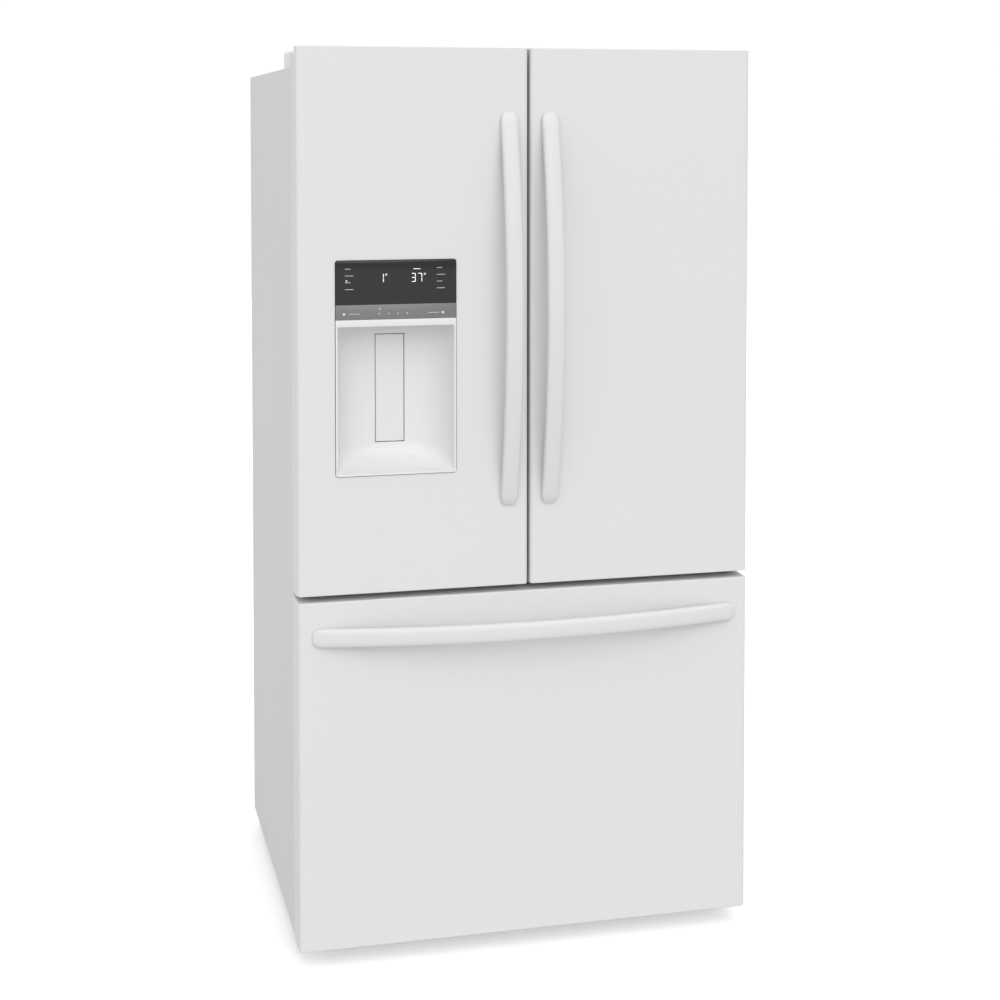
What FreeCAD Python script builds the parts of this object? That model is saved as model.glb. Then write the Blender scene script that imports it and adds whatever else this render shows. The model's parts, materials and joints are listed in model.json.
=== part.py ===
"""French door refrigerator: two fresh-food doors over one freezer drawer.

Millimetres, +Z up, +X to the right and +Y to the back as one stands at the doors.
The origin is on the floor, under the middle of the object's box.
Every piece is written to parts/NODE.step; a node with several equal pieces holds one solid for each.
"""
import FreeCAD, Part
import os

V = FreeCAD.Vector

# ---------------------------------------------------------------- overall sizes
WIDTH = 908.0            # across the doors
DEPTH = 790.0            # door faces to the back of the cabinet
HEIGHT = 1773.0          # floor to the tops of the doors
HANDLE_REACH = 58.0      # the handles stand this far proud of the doors
FLOOR_GAP = 38.0         # under the drawer front and the cabinet's sides
CASE_DROP = 38.0         # cabinet top below the door tops
CASE_INSET = 2.0         # cabinet side inside the door side
DOOR_THICK = 70.0
SEAL_SPACE = 13.0        # door backs to the cabinet front
DRAWER_HEIGHT = 676.0
SEAM = 12.5              # between the drawer and the doors
DOOR_GAP = 5.0           # between the two doors

# ---------------------------------------------------------------- walls and sheets
SHEET = 1.2              # painted steel
LINER = 2.0              # moulded inner skins
MOULDED = 3.0            # bins, drawers and baskets
SIDE_WALL = 45.0         # cabinet walls, sheet and foam together with the liner
TOP_WALL = 50.0
BACK_WALL = 55.0
RAIL = 50.0              # wall between the two compartments
FLANGE = 22.0            # steel face round the cabinet's mouth
BOTTOM_RAIL = 88.0       # top of the steel face below the freezer
FREEZER_FLOOR = 110.0    # underside of the freezer's liner
PAN_TOP = 64.0           # top of the base pan, which carries the foam
MACHINE_DEPTH = 189.0    # compressor space, from the back
MACHINE_TOP = 290.0
STEP_WALL = 40.0         # foam between that space and the freezer

# ---------------------------------------------------------------- clearances
SEAL_GAP = 0.4           # gasket to the face that it closes on
PIN_PLAY = 0.06          # radial, pins and axles
TRACK_PLAY = 0.5         # slides in their channels

# ---------------------------------------------------------------- places that follow from them
FRONT = HANDLE_REACH - (DEPTH + HANDLE_REACH) / 2
BACK = FRONT + DEPTH
DOOR_BACK = FRONT + DOOR_THICK
CASE_FRONT = DOOR_BACK + SEAL_SPACE
CASE_X = WIDTH / 2 - CASE_INSET
CASE_TOP = HEIGHT - CASE_DROP
DRAWER_TOP = FLOOR_GAP + DRAWER_HEIGHT
DOOR_BOTTOM = DRAWER_TOP + SEAM
RAIL_MID = DRAWER_TOP + SEAM / 2
MOUTH_X = CASE_X - FLANGE
ROOM_X = CASE_X - SIDE_WALL                        # outside of both liners
ROOM_BACK = BACK - BACK_WALL
FRESH_Z = (RAIL_MID + RAIL / 2, CASE_TOP - TOP_WALL)
FREEZER_Z = (FREEZER_FLOOR, RAIL_MID - RAIL / 2)
STEP_Y = BACK - MACHINE_DEPTH - STEP_WALL
STEP_Z = MACHINE_TOP + STEP_WALL
IN_X = ROOM_X - LINER                              # inner faces of the liners
IN_BACK = ROOM_BACK - LINER

# ---------------------------------------------------------------- doors
DOOR_ROUND = 8.0         # upright front edges
RIM_ROUND = 2.0          # edges of the door tops and bottoms
PIN_IN = 25.0            # hinge pin from the door's side
PIN_DEEP = 45.0          # hinge pin from the door's face
PIN_R = 6.0
PIN_LONG = 24.0
BUSH_WALL = 5.0
ARM_HALF = 11.0          # half width of a hinge arm at its pin
ARM_THICK = 3.5
ARM_POCKET = 13.0        # depth of the hinge pocket in the door's top
GASKET_WIDTH = 16.0
GASKET_IN = 26.0         # gasket from the door's edge
RIDGE_IN = 54.0          # raised ridge of the door liner from the hinge side
RIDGE_CENTRE = 52.0      # and from the middle of the refrigerator
RIDGE_WIDE = 14.0
RIDGE_HIGH = 41.0
BIN_BACK = DOOR_BACK + 96.0
BIN_HEIGHT = 100.0
BIN_ROOM = 135.0         # open space above each bin
FLAP_WIDE = 84.0         # flap between the doors
FLAP_THICK = 18.0
FLAP_PIN_R = 3.0

# ---------------------------------------------------------------- handles
DOOR_HANDLE_LONG = 765.0
DOOR_HANDLE_WIDE = 34.0
DOOR_HANDLE_UP = 157.5   # its lower end above the door's bottom edge
DOOR_HANDLE_OFF = 41.0   # its middle from the middle of the refrigerator
DRAWER_HANDLE_IN = 26.5  # its ends from the drawer's sides
DRAWER_HANDLE_TALL = 36.0
DRAWER_HANDLE_DOWN = 67.0
HANDLE_THICK = 19.0
HANDLE_END = 8.0         # height of the bow's ends above the door
HANDLE_FOOT = 46.0       # length of each end that rests on the door
HANDLE_ROUND = 6.5

# ---------------------------------------------------------------- dispenser
DISP_IN = 74.0           # from the door's outer side
DISP_WIDE = 234.0
DISP_TALL = 412.0
DISP_UP = 227.5          # above the door's bottom edge
DISPLAY_TALL = 84.0
STRIP_TALL = 29.0
FRAME_PROUD = 2.0
FRAME_RIM = 3.0          # how far the frame covers the edge of its hole
FRAME_DEEP = 8.0         # the frame's neck behind the door's face
RECESS_RIM = 4.0         # frame beside and under the recess
RECESS_TOP = 14.0        # frame between the recess and the control strip
RECESS_DEEP = 70.0
RECESS_WALL = 2.5
RECESS_ROUND = 42.0
PADDLE_WIDE = 56.0
PADDLE_TALL = 210.0
PADDLE_THICK = 6.0
PADDLE_UP = 49.0         # above the recess floor
PADDLE_ROOM = 28.0       # depth of the pocket behind its face
PADDLE_GAP = 1.8
TRAY_THICK = 7.0

# ---------------------------------------------------------------- fresh-food fittings
SHELF_FRONT = CASE_FRONT + 108.0
SHELF_BACK = IN_BACK - 27.0
SHELF_TALL = 14.0
GLASS = 4.0
DELI_TALL = 116.0
CRISPER_TALL = 187.0
ICE_ROOM_WIDE = 220.0
ICE_ROOM_WALL = 10.0
ICE_ROOM_DEEP = 515.0
CHUTE_WIDE = 44.0
CHUTE_WALL = 2.0
FILTER_R = 28.0
FILTER_LONG = 200.0

# ---------------------------------------------------------------- freezer fittings
TRACK_LONG = 430.0
TRACK_TALL = 45.0
TRACK_Z = 240.0
LOWER_TALL = 163.0       # depth of the lower basket
UPPER_Z = 420.0
UPPER_TALL = 200.0

# ---------------------------------------------------------------- machine space and feet
ROLLER_R = 20.0
ROLLER_WIDE = 24.0
AXLE_R = 4.0
FOOT_IN = 37.0           # feet and rollers from the cabinet's sides
LEG_R = 5.0
NUT_R = 10.0
CORD_BORE_R = 4.5        # hole in the gland for the mains cord
COMPRESSOR_X = 250.0
COMPRESSOR_R = 72.0
COMPRESSOR_TALL = 150.0
CONDENSER_X = (-360.0, -110.0)
CONDENSER_TALL = 150.0
FIN_PITCH = 12
FAN_SHAFT_R = 3.0

PARTS = {}


# ================================================================ helpers
def block(x, y, z):
    """Box from a (low, high) pair along each axis."""
    return Part.makeBox(x[1] - x[0], y[1] - y[0], z[1] - z[0], V(x[0], y[0], z[0]))


def rod(start, radius, length, axis):
    """Round bar that starts at a point and runs along an axis."""
    return Part.makeCylinder(radius, length, V(*start), V(*axis))


def fuse(first, *others):
    """One solid from pieces that touch."""
    return first.multiFuse(list(others)).removeSplitter()


def cut(shape, *tools):
    """The shape less its tools."""
    for tool in tools:
        shape = shape.cut(tool)
    return shape


def grow(span, by):
    """A (low, high) pair made larger at both ends."""
    return (span[0] - by, span[1] + by)


def centred(middle, size):
    """A (low, high) pair about a middle."""
    return (middle - size / 2, middle + size / 2)


def mirrored(shape):
    """The same piece on the other side of the refrigerator."""
    return shape.mirror(V(0, 0, 0), V(1, 0, 0))


def upright_edges(shape):
    """Edges that run straight up."""
    return [e for e in shape.Edges if abs(e.tangentAt(e.FirstParameter).z) > 0.999]


def soft_block(x, y, z, radius):
    """Box with its four upright edges rounded."""
    box = block(x, y, z)
    return box.makeFillet(radius, upright_edges(box))


def tub(x, y, z, wall, radius):
    """Open-topped bin with rounded upright corners."""
    hollow = soft_block(grow(x, -wall), grow(y, -wall), (z[0] + wall, z[1] + 1), radius - wall)
    return soft_block(x, y, z, radius).cut(hollow)


def ring(x, y, z, width):
    """Upright rectangular ring, its hole along Y."""
    return block(x, y, z).cut(block(grow(x, -width), grow(y, 1), grow(z, -width)))


def front_slab(x, y, z, radius):
    """Panel with its two upright front edges rounded."""
    box = block(x, y, z)
    front = [e for e in upright_edges(box) if abs(e.CenterOfMass.y - y[0]) < 0.01]
    return box.makeFillet(radius, front)


def rim_edges(shape, y, z):
    """Edges round the top and bottom of a front slab, but not along its back."""
    found = []
    for e in shape.Edges:
        level = min(abs(e.BoundBox.ZMin - z[0]), abs(e.BoundBox.ZMax - z[1])) < 0.01
        flat = e.BoundBox.ZLength < 0.01
        if level and flat and e.BoundBox.YMin < y[1] - 0.01:
            found.append(e)
    return found


def sheet_tray(x, y, z):
    """Painted steel front, open at the back, with rounded edges."""
    outer = front_slab(x, y, z, DOOR_ROUND)
    outer = outer.makeFillet(RIM_ROUND, rim_edges(outer, y, z))
    hollow = front_slab(grow(x, -SHEET), (y[0] + SHEET, y[1] + 1), grow(z, -SHEET), DOOR_ROUND - SHEET)
    return outer.cut(hollow)


def bow_handle(start, end, across, place):
    """Bowed bar; place turns (along, outward, across) into a point."""
    middle = (start + end) / 2
    outer = Part.Arc(place(start, HANDLE_END, -across / 2), place(middle, HANDLE_REACH, -across / 2),
                     place(end, HANDLE_END, -across / 2))
    inner = Part.Arc(place(end - HANDLE_FOOT, 0, -across / 2),
                     place(middle, HANDLE_REACH - HANDLE_THICK, -across / 2),
                     place(start + HANDLE_FOOT, 0, -across / 2))
    corners = [place(start + HANDLE_FOOT, 0, -across / 2), place(start, 0, -across / 2),
               place(start, HANDLE_END, -across / 2)]
    far = [place(end, HANDLE_END, -across / 2), place(end, 0, -across / 2),
           place(end - HANDLE_FOOT, 0, -across / 2)]
    edges = [Part.LineSegment(corners[0], corners[1]).toShape(),
             Part.LineSegment(corners[1], corners[2]).toShape(), outer.toShape(),
             Part.LineSegment(far[0], far[1]).toShape(),
             Part.LineSegment(far[1], far[2]).toShape(), inner.toShape()]
    side = place(0, 0, across) - place(0, 0, 0)
    bar = Part.Face(Part.Wire(edges)).extrude(side)
    base = place(0, 0, 0)
    out = place(0, 1, 0) - base
    proud = [e for e in bar.Edges if (e.CenterOfMass - base).dot(out) > HANDLE_END / 2 - 0.1
             and not is_inner(e, base, out)]
    return bar.makeFillet(HANDLE_ROUND, proud)


def is_inner(edge, base, out):
    """True for the handle's long edges on the side of the door."""
    heights = [(v.Point - base).dot(out) for v in edge.Vertexes]
    return max(heights) < 0.01 or edge.Length < HANDLE_END + 0.01


def shelf(x, z, panes):
    """Moulded shelf frame with its panes: returns the frame and a list of panes."""
    y = (SHELF_FRONT, SHELF_BACK)
    frame = block(x, y, (z, z + SHELF_TALL))
    step = (x[1] - x[0]) / panes
    glass = []
    for i in range(panes):
        bay = (x[0] + i * step, x[0] + (i + 1) * step)
        seat = (grow(bay, -8), grow(y, -8), (z + SHELF_TALL - GLASS, z + SHELF_TALL))
        glass.append(block(*seat))
        frame = frame.cut(block(seat[0], seat[1], (seat[2][0], seat[2][1] + 1)))
        frame = frame.cut(block(grow(bay, -16), grow(y, -16), grow((z, z + SHELF_TALL), 1)))
    return frame, glass


def fan(middle, axis, radius):
    """Five-bladed fan with a bored hub, turning about X or Y."""
    hub = rod((0, 0, -8), 14, 16, (0, 0, 1))
    blades = []
    for i in range(5):
        blade = block((10, radius), (-11, 11), (-1, 1))
        blade.rotate(V(0, 0, 0), V(1, 0, 0), 32)
        blade.rotate(V(0, 0, 0), V(0, 0, 1), i * 360 / 5)
        blades.append(blade)
    wheel = fuse(hub, *blades).common(rod((0, 0, -20), radius, 40, (0, 0, 1)))
    wheel = wheel.cut(rod((0, 0, -20), FAN_SHAFT_R + PIN_PLAY, 40, (0, 0, 1)))
    wheel.rotate(V(0, 0, 0), V(*axis), 90)
    wheel.translate(V(*middle))
    return wheel


# ================================================================ cabinet
def add_cabinet():
    """Steel wrapper, back, foam, the two liners and the base."""
    outer = block((-CASE_X, CASE_X), (CASE_FRONT, BACK), (FLOOR_GAP, CASE_TOP))
    hollow = block((SHEET - CASE_X, CASE_X - SHEET), (CASE_FRONT + SHEET, BACK + 1),
                   (FLOOR_GAP - 1, CASE_TOP - SHEET))
    face = grow((CASE_FRONT, CASE_FRONT + SHEET), 1)
    fresh_mouth = block((-MOUTH_X, MOUTH_X), face, (FRESH_Z[0], CASE_TOP - FLANGE))
    freezer_mouth = block((-MOUTH_X, MOUTH_X), face, (BOTTOM_RAIL, FREEZER_Z[1]))
    PARTS["cabinet_shell"] = cut(outer, hollow, fresh_mouth, freezer_mouth)

    inside = (SHEET - CASE_X, CASE_X - SHEET)
    PARTS["back_panel"] = block(inside, (BACK - SHEET, BACK), (MACHINE_TOP + 20, CASE_TOP - SHEET))

    lower_back = block((-ROOM_X, ROOM_X), (CASE_FRONT, STEP_Y), FREEZER_Z)
    upper_back = block((-ROOM_X, ROOM_X), (CASE_FRONT, ROOM_BACK), (STEP_Z, FREEZER_Z[1]))
    fresh_room = block((-ROOM_X, ROOM_X), (CASE_FRONT, ROOM_BACK), FRESH_Z)
    machine = block(grow(inside, 1), (BACK - MACHINE_DEPTH, BACK), (0, MACHINE_TOP))
    foam = block(inside, (CASE_FRONT + SHEET, BACK - SHEET), (PAN_TOP, CASE_TOP - SHEET))
    PARTS["insulation_foam"] = cut(foam, lower_back, upper_back, fresh_room, machine)

    add_fresh_liner(fresh_room)
    add_freezer_liner(lower_back.fuse(upper_back))


def add_fresh_liner(room):
    """Fresh-food liner, its shelf ledges and the socket of the water filter."""
    lip = block((-MOUTH_X, MOUTH_X), (CASE_FRONT, CASE_FRONT + SHEET), (FRESH_Z[0], CASE_TOP - FLANGE))
    hollow = block((-IN_X, IN_X), (CASE_FRONT - 1, IN_BACK), grow(FRESH_Z, -LINER))
    skin = room.fuse(lip).cut(hollow)
    ledges = []
    for z in (DELI_COVER_Z, CRISPER_COVER_Z, MID_SHELF_Z, TOP_SHELF_Z):
        for side in (-1, 1):
            if z == TOP_SHELF_Z and side < 0:
                continue
            low, high = sorted((side * (IN_X - 6), side * (IN_X + 1)))
            ledges.append(block((low, high), (SHELF_FRONT + 20, SHELF_BACK), (z - 8, z)))
    x, y, z = FILTER_AT
    socket = rod((x, y + FILTER_LONG - 30, z), FILTER_R + 8, 60, (0, 1, 0))
    bridge = block(centred(x, 30), (y + FILTER_LONG - 30, y + FILTER_LONG + 30), (z, FRESH_Z[1] - 1))
    bore = rod((x, y + FILTER_LONG - 31, z), FILTER_R - 4 + PIN_PLAY, 33, (0, 1, 0))
    PARTS["fresh_food_liner"] = fuse(skin, socket, bridge, *ledges).cut(bore)


def add_freezer_liner(room):
    """Freezer liner with the guides of the upper basket."""
    lip = block((-MOUTH_X, MOUTH_X), (CASE_FRONT, CASE_FRONT + SHEET), (BOTTOM_RAIL, FREEZER_Z[1]))
    low = block((-IN_X, IN_X), (CASE_FRONT - 1, STEP_Y - LINER), grow(FREEZER_Z, -LINER))
    high = block((-IN_X, IN_X), (CASE_FRONT - 1, IN_BACK), (STEP_Z + LINER, FREEZER_Z[1] - LINER))
    skin = cut(room.fuse(lip), low, high)
    guides = []
    for side in (-1, 1):
        near, far = sorted((side * (IN_X - 22), side * (IN_X + 1)))
        guides.append(block((near, far), (CASE_FRONT + 30, IN_BACK - 40), (UPPER_Z - 8, UPPER_Z)))
    PARTS["freezer_liner"] = fuse(skin, *guides)


def add_base():
    """Base pan with roller forks and leg nuts, the toe grille and the rear cover."""
    pan_y = (CASE_FRONT + SHEET, BACK - SHEET)
    pan = block(grow((-CASE_X, CASE_X), -SHEET), pan_y, (PAN_TOP - 2, PAN_TOP))
    extras = []
    bores = []
    for side in (-1, 1):
        x = side * (CASE_X - FOOT_IN)
        for edge in (-1, 1):
            ear = centred(x + edge * (ROLLER_WIDE / 2 + 3.5), 4)
            extras.append(block(ear, centred(ROLLER_Y, 34), (ROLLER_R - 10, PAN_TOP - 1)))
        extras.append(rod((x - ROLLER_WIDE / 2 - 5, ROLLER_Y, ROLLER_R), AXLE_R, ROLLER_WIDE + 10, (1, 0, 0)))
        extras.append(rod((x, LEG_Y, 40), NUT_R, PAN_TOP - 1 - 40, (0, 0, 1)))
        bores.append(rod((x, LEG_Y, 30), LEG_R + PIN_PLAY, 50, (0, 0, 1)))
    post = block((40, 52), centred(FAN_Y, 30), (PAN_TOP - 1, FAN_Z))
    motor = rod((14, FAN_Y, FAN_Z), 20, 38, (1, 0, 0))
    shaft = rod((-9, FAN_Y, FAN_Z), FAN_SHAFT_R, 30, (1, 0, 0))
    PARTS["base_frame"] = cut(fuse(pan, post, motor, shaft, *extras), *bores)

    grille = block((-MOUTH_X, MOUTH_X), (CASE_FRONT + SHEET, CASE_FRONT + SHEET + 3), (8, PAN_TOP - 4))
    for i in range(-9, 10):
        grille = grille.cut(block(centred(i * 42, 30), grow(pan_y, 9), (20, 28)))
        grille = grille.cut(block(centred(i * 42, 30), grow(pan_y, 9), (36, 44)))
    PARTS["toe_grille"] = grille

    cover = block(grow((-CASE_X, CASE_X), -SHEET), (BACK - SHEET, BACK), (FLOOR_GAP + 8, MACHINE_TOP + 20))
    gland = rod((GLAND_X, BACK - 12, GLAND_Z), 10, 12, (0, 1, 0))
    cover = fuse(cover, gland).cut(rod((GLAND_X, BACK - 20, GLAND_Z), CORD_BORE_R, 40, (0, 1, 0)))
    cover = cover.cut(rod((VALVE_X, BACK - 20, VALVE_Z), 15, 40, (0, 1, 0)))
    for side in (-1, 1):
        for i in range(9):
            slot = block(centred(side * 190, 200), (BACK - 5, BACK + 5), centred(95 + i * 20, 7))
            cover = cover.cut(slot)
    PARTS["machine_cover"] = cover


def add_machine_space():
    """Compressor, condenser, fan and the water valve."""
    x, y = COMPRESSOR_X, FAN_Y
    can = rod((x, y, PAN_TOP + 14), COMPRESSOR_R, COMPRESSOR_TALL, (0, 0, 1))
    rims = [e for e in can.Edges if e.BoundBox.ZLength < 0.01]
    can = can.makeFillet(COMPRESSOR_R * 0.47, rims)
    plate = block(centred(x, 190), centred(y, 110), (PAN_TOP + 10, PAN_TOP + 16))
    grommets = []
    for dx in (-80, 80):
        for dy in (-42, 42):
            grommets.append(rod((x + dx, y + dy, PAN_TOP), 9, 11, (0, 0, 1)))
    suction = rod((x - 60, y, PAN_TOP + 100), 5, 60, (-0.5, 0, 1))
    PARTS["compressor"] = fuse(can, plate, suction, *grommets)

    x_span = CONDENSER_X
    y_span = centred(FAN_Y, 130)
    z_span = (PAN_TOP + 8, PAN_TOP + 8 + CONDENSER_TALL)
    first, last = int(x_span[0]) + 10, int(x_span[1])
    fins = [block((px, px + SHEET), y_span, z_span) for px in range(first, last, FIN_PITCH)]
    tubes = []
    for row in range(6):
        z = z_span[0] + 13 + row * 25
        for dy in (-40, 0, 40):
            tubes.append(rod((x_span[0], FAN_Y + dy, z), 4, x_span[1] - x_span[0], (1, 0, 0)))
    ends = [block((px, px + 2), y_span, (PAN_TOP, z_span[1])) for px in x_span]
    PARTS["condenser"] = fuse(ends[0], ends[1], *(fins + tubes))
    PARTS["condenser_fan"] = fan((2, FAN_Y, FAN_Z), (0, 1, 0), 62)

    body = block(centred(VALVE_X, 34), (BACK - 60, BACK - 20), (VALVE_Z - 16, VALVE_Z + 24))
    foot = block(centred(VALVE_X, 24), (BACK - 56, BACK - 30), (PAN_TOP, VALVE_Z - 15))
    inlet = rod((VALVE_X, BACK - 21, VALVE_Z), VALVE_R, 21, (0, 1, 0))
    collar = rod((VALVE_X, BACK - 21, VALVE_Z), 9, 5, (0, 1, 0))
    coils = [rod((VALVE_X + dx, BACK - 42, VALVE_Z + 22), 8, 30, (0, 0, 1)) for dx in (-8.5, 8.5)]
    PARTS["water_valve"] = fuse(body, foot, inlet, collar, *coils)


def add_feet():
    """Two rollers at the back and two levelling legs at the front."""
    for name, side in (("left", -1), ("right", 1)):
        x = side * (CASE_X - FOOT_IN)
        wheel = rod((x - ROLLER_WIDE / 2, ROLLER_Y, ROLLER_R), ROLLER_R, ROLLER_WIDE, (1, 0, 0))
        bore = rod((x - ROLLER_WIDE, ROLLER_Y, ROLLER_R), AXLE_R + PIN_PLAY, 2 * ROLLER_WIDE, (1, 0, 0))
        PARTS["roller_" + name] = wheel.cut(bore)
        foot = rod((x, LEG_Y, 0), 17, 9, (0, 0, 1))
        stem = rod((x, LEG_Y, 8), LEG_R, 50, (0, 0, 1))
        PARTS["levelling_leg_" + name] = fuse(foot, stem)


# ================================================================ hinges
def add_hinges():
    """Top hinges with their covers, and the hinges between the doors and the drawer."""
    arm_z = (HEIGHT - ARM_POCKET + 2, HEIGHT - ARM_POCKET + 2 + ARM_THICK)
    cover_y = (CASE_FRONT + 21, CASE_FRONT + 119)
    half = (PIN_X - ARM_HALF, PIN_X + ARM_HALF)
    arm = block(half, (PIN_Y, cover_y[0] + 30), arm_z)
    tip = rod((PIN_X, PIN_Y, arm_z[0]), ARM_HALF, ARM_THICK, (0, 0, 1))
    riser = block(half, (cover_y[0] + 26, cover_y[0] + 30), (CASE_TOP, arm_z[1]))
    plate = block(grow(half, 6), (cover_y[0] + 26, cover_y[1] - 6), (CASE_TOP, CASE_TOP + 3))
    pin = rod((PIN_X, PIN_Y, arm_z[0] - PIN_LONG), PIN_R, PIN_LONG + 1, (0, 0, 1))
    left = fuse(arm, tip, riser, plate, pin)
    PARTS["top_hinges"] = [left, mirrored(left)]

    cover = soft_block(grow(half, 10), cover_y, (CASE_TOP, HEIGHT - 5), 5)
    room = block(grow(half, 8), grow(cover_y, -2), (CASE_TOP - 1, HEIGHT - 7))
    slot = block(grow(half, 1), (cover_y[0] - 1, cover_y[0] + 5), grow(arm_z, 1))
    cover = cut(cover, room, slot)
    PARTS["hinge_covers"] = [cover, mirrored(cover)]

    leaf_z = centred(RAIL_MID - 0.25, 4)
    leaf = block((1 - CASE_X, PIN_X + ARM_HALF), (PIN_Y, CASE_FRONT), leaf_z)
    nose = rod((PIN_X, PIN_Y, leaf_z[0]), ARM_HALF, 4, (0, 0, 1))
    lug = block((1 - CASE_X, 1 - MOUTH_X - 2), (CASE_FRONT - 3, CASE_FRONT), (leaf_z[0] - 20, DOOR_BOTTOM - 2))
    pin = rod((PIN_X, PIN_Y, leaf_z[1] - 1), PIN_R, PIN_LONG, (0, 0, 1))
    left = fuse(leaf, nose, lug, pin)
    PARTS["centre_hinges"] = [left, mirrored(left)]


# ================================================================ doors
def hinge_pocket(by):
    """Space that the top hinge's arm needs in the door's top, grown by a sheet's thickness."""
    return block((-WIDTH / 2 - 1, PIN_X + ARM_HALF + 3 + by), (PIN_Y - 23 - by, DOOR_BACK + 2),
                 (HEIGHT - ARM_POCKET - by, HEIGHT + 1))


def door_shell():
    """Left door's steel front with its two hinge bushings."""
    outer = front_slab(DOOR_X, (FRONT, DOOR_BACK), DOOR_Z, DOOR_ROUND)
    outer = outer.makeFillet(RIM_ROUND, rim_edges(outer, (FRONT, DOOR_BACK), DOOR_Z))
    outer = outer.cut(hinge_pocket(0))
    hollow = front_slab(grow(DOOR_X, -SHEET), (FRONT + SHEET, DOOR_BACK + 1), grow(DOOR_Z, -SHEET),
                        DOOR_ROUND - SHEET)
    shell = outer.cut(hollow.cut(hinge_pocket(SHEET)))
    top = HEIGHT - ARM_POCKET
    bush_long = PIN_LONG + 4
    upper = rod((PIN_X, PIN_Y, top - bush_long), PIN_R + BUSH_WALL, bush_long - 0.5, (0, 0, 1))
    lower = rod((PIN_X, PIN_Y, DOOR_BOTTOM + 0.5), PIN_R + BUSH_WALL, bush_long, (0, 0, 1))
    bore = PIN_R + PIN_PLAY
    upper_bore = rod((PIN_X, PIN_Y, top - PIN_LONG), bore, PIN_LONG + 10, (0, 0, 1))
    lower_bore = rod((PIN_X, PIN_Y, DOOR_BOTTOM - 5), bore, PIN_LONG + 3, (0, 0, 1))
    return cut(fuse(shell, upper, lower), upper_bore, lower_bore)


def door_liner():
    """Left door's inner skin: a plate and a hollow raised ridge that carries the bins."""
    plate = block(grow(DOOR_X, -SHEET), (DOOR_BACK - LINER, DOOR_BACK), grow(DOOR_Z, -SHEET))
    ridge = ring(RIDGE_X, (DOOR_BACK - LINER, DOOR_BACK + RIDGE_HIGH), RIDGE_Z, RIDGE_WIDE)
    hollow = ring(grow(RIDGE_X, -LINER), (DOOR_BACK - LINER - 1, DOOR_BACK + RIDGE_HIGH - LINER),
                  grow(RIDGE_Z, -LINER), RIDGE_WIDE - 2 * LINER)
    return cut(fuse(plate, ridge), hollow, hinge_pocket(SHEET))


def door_gasket():
    """Left door's magnetic seal."""
    x = (DOOR_X[0] + GASKET_IN, DOOR_X[1] - GASKET_IN)
    z = (FRESH_Z[0] - GASKET_WIDTH, CASE_TOP - 2)
    return ring(x, (DOOR_BACK, CASE_FRONT - SEAL_GAP), z, GASKET_WIDTH)


def door_bin(base, front=None):
    """Bin that hangs between the uprights of the ridge."""
    near = DOOR_BACK if front is None else front
    return tub(grow(RIDGE_X, -RIDGE_WIDE), (near, BIN_BACK), (base, base + BIN_HEIGHT), MOULDED, 10)


def door_handle():
    """Left door's bowed handle."""
    start = DOOR_BOTTOM + DOOR_HANDLE_UP
    return bow_handle(start, start + DOOR_HANDLE_LONG, DOOR_HANDLE_WIDE,
                      lambda along, out, across: V(across - DOOR_HANDLE_OFF, FRONT - out, along))


def add_doors():
    """Both doors, their handles, seals and bins, and the flap that closes the gap between them."""
    shell = door_shell()
    liner = door_liner()
    PARTS["right_door_shell"] = mirrored(shell)
    PARTS["right_door_liner"] = mirrored(liner)
    for side, place in (("left", lambda s: s), ("right", mirrored)):
        PARTS[side + "_gasket"] = place(door_gasket())
        PARTS[side + "_handle"] = place(door_handle())
    low = RIDGE_Z[0] + RIDGE_WIDE
    pitch = BIN_HEIGHT + BIN_ROOM
    PARTS["right_bins"] = [mirrored(door_bin(low + i * pitch)) for i in range(4)]
    PARTS["left_bins"] = [door_bin(low), door_bin(low + pitch, BUMP_BACK), door_bin(low + 3 * pitch)]

    window = block(grow(DISP_X, -FRAME_RIM), (FRONT - 1, FRONT + SHEET + 1), grow(DISP_Z, -FRAME_RIM))
    PARTS["left_door_shell"] = shell.cut(window)
    bump_x = grow(DISP_X, 4)
    bump_z = (DISP_Z[0] - 4, DISP_Z[1] + 14)
    bump = block(bump_x, (DOOR_BACK - LINER, BUMP_BACK), bump_z)
    hollow = block(grow(bump_x, -LINER), (DOOR_BACK - LINER - 1, BUMP_BACK - LINER), grow(bump_z, -LINER))
    PARTS["left_door_liner"] = cut(fuse(liner, bump), hollow, chute_body(0))

    PARTS["left_door_liner"] = add_flap(PARTS["left_door_liner"])


def add_flap(liner):
    """Flap that closes the gap between the doors, stored folded; returns the liner with its brackets."""
    pivot = (FLAP_X, CASE_FRONT + FLAP_THICK / 2)
    z = grow(RIDGE_Z, -20)
    nose = rod((pivot[0], pivot[1], z[0]), FLAP_THICK / 2, z[1] - z[0], (0, 0, 1))
    leaf = block(centred(pivot[0], FLAP_THICK), (pivot[1], CASE_FRONT + FLAP_WIDE), z)
    pin = rod((pivot[0], pivot[1], z[0] - 8), FLAP_PIN_R, z[1] - z[0] + 16, (0, 0, 1))
    PARTS["mullion_bar"] = fuse(nose, leaf, pin)
    brackets = []
    for level in ((z[0] - 8, z[0] - 1), (z[1] + 1, z[1] + 8)):
        brackets.append(block(centred(pivot[0], 14), (pivot[1] - 5, pivot[1] + 7), level))
        brackets.append(block((RIDGE_X[1] - 4, pivot[0] + 7), (pivot[1] - 5, pivot[1]), level))
    bore = rod((pivot[0], pivot[1], z[0] - 20), FLAP_PIN_R + PIN_PLAY, z[1] - z[0] + 40, (0, 0, 1))
    return fuse(liner, *brackets).cut(bore)


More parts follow.
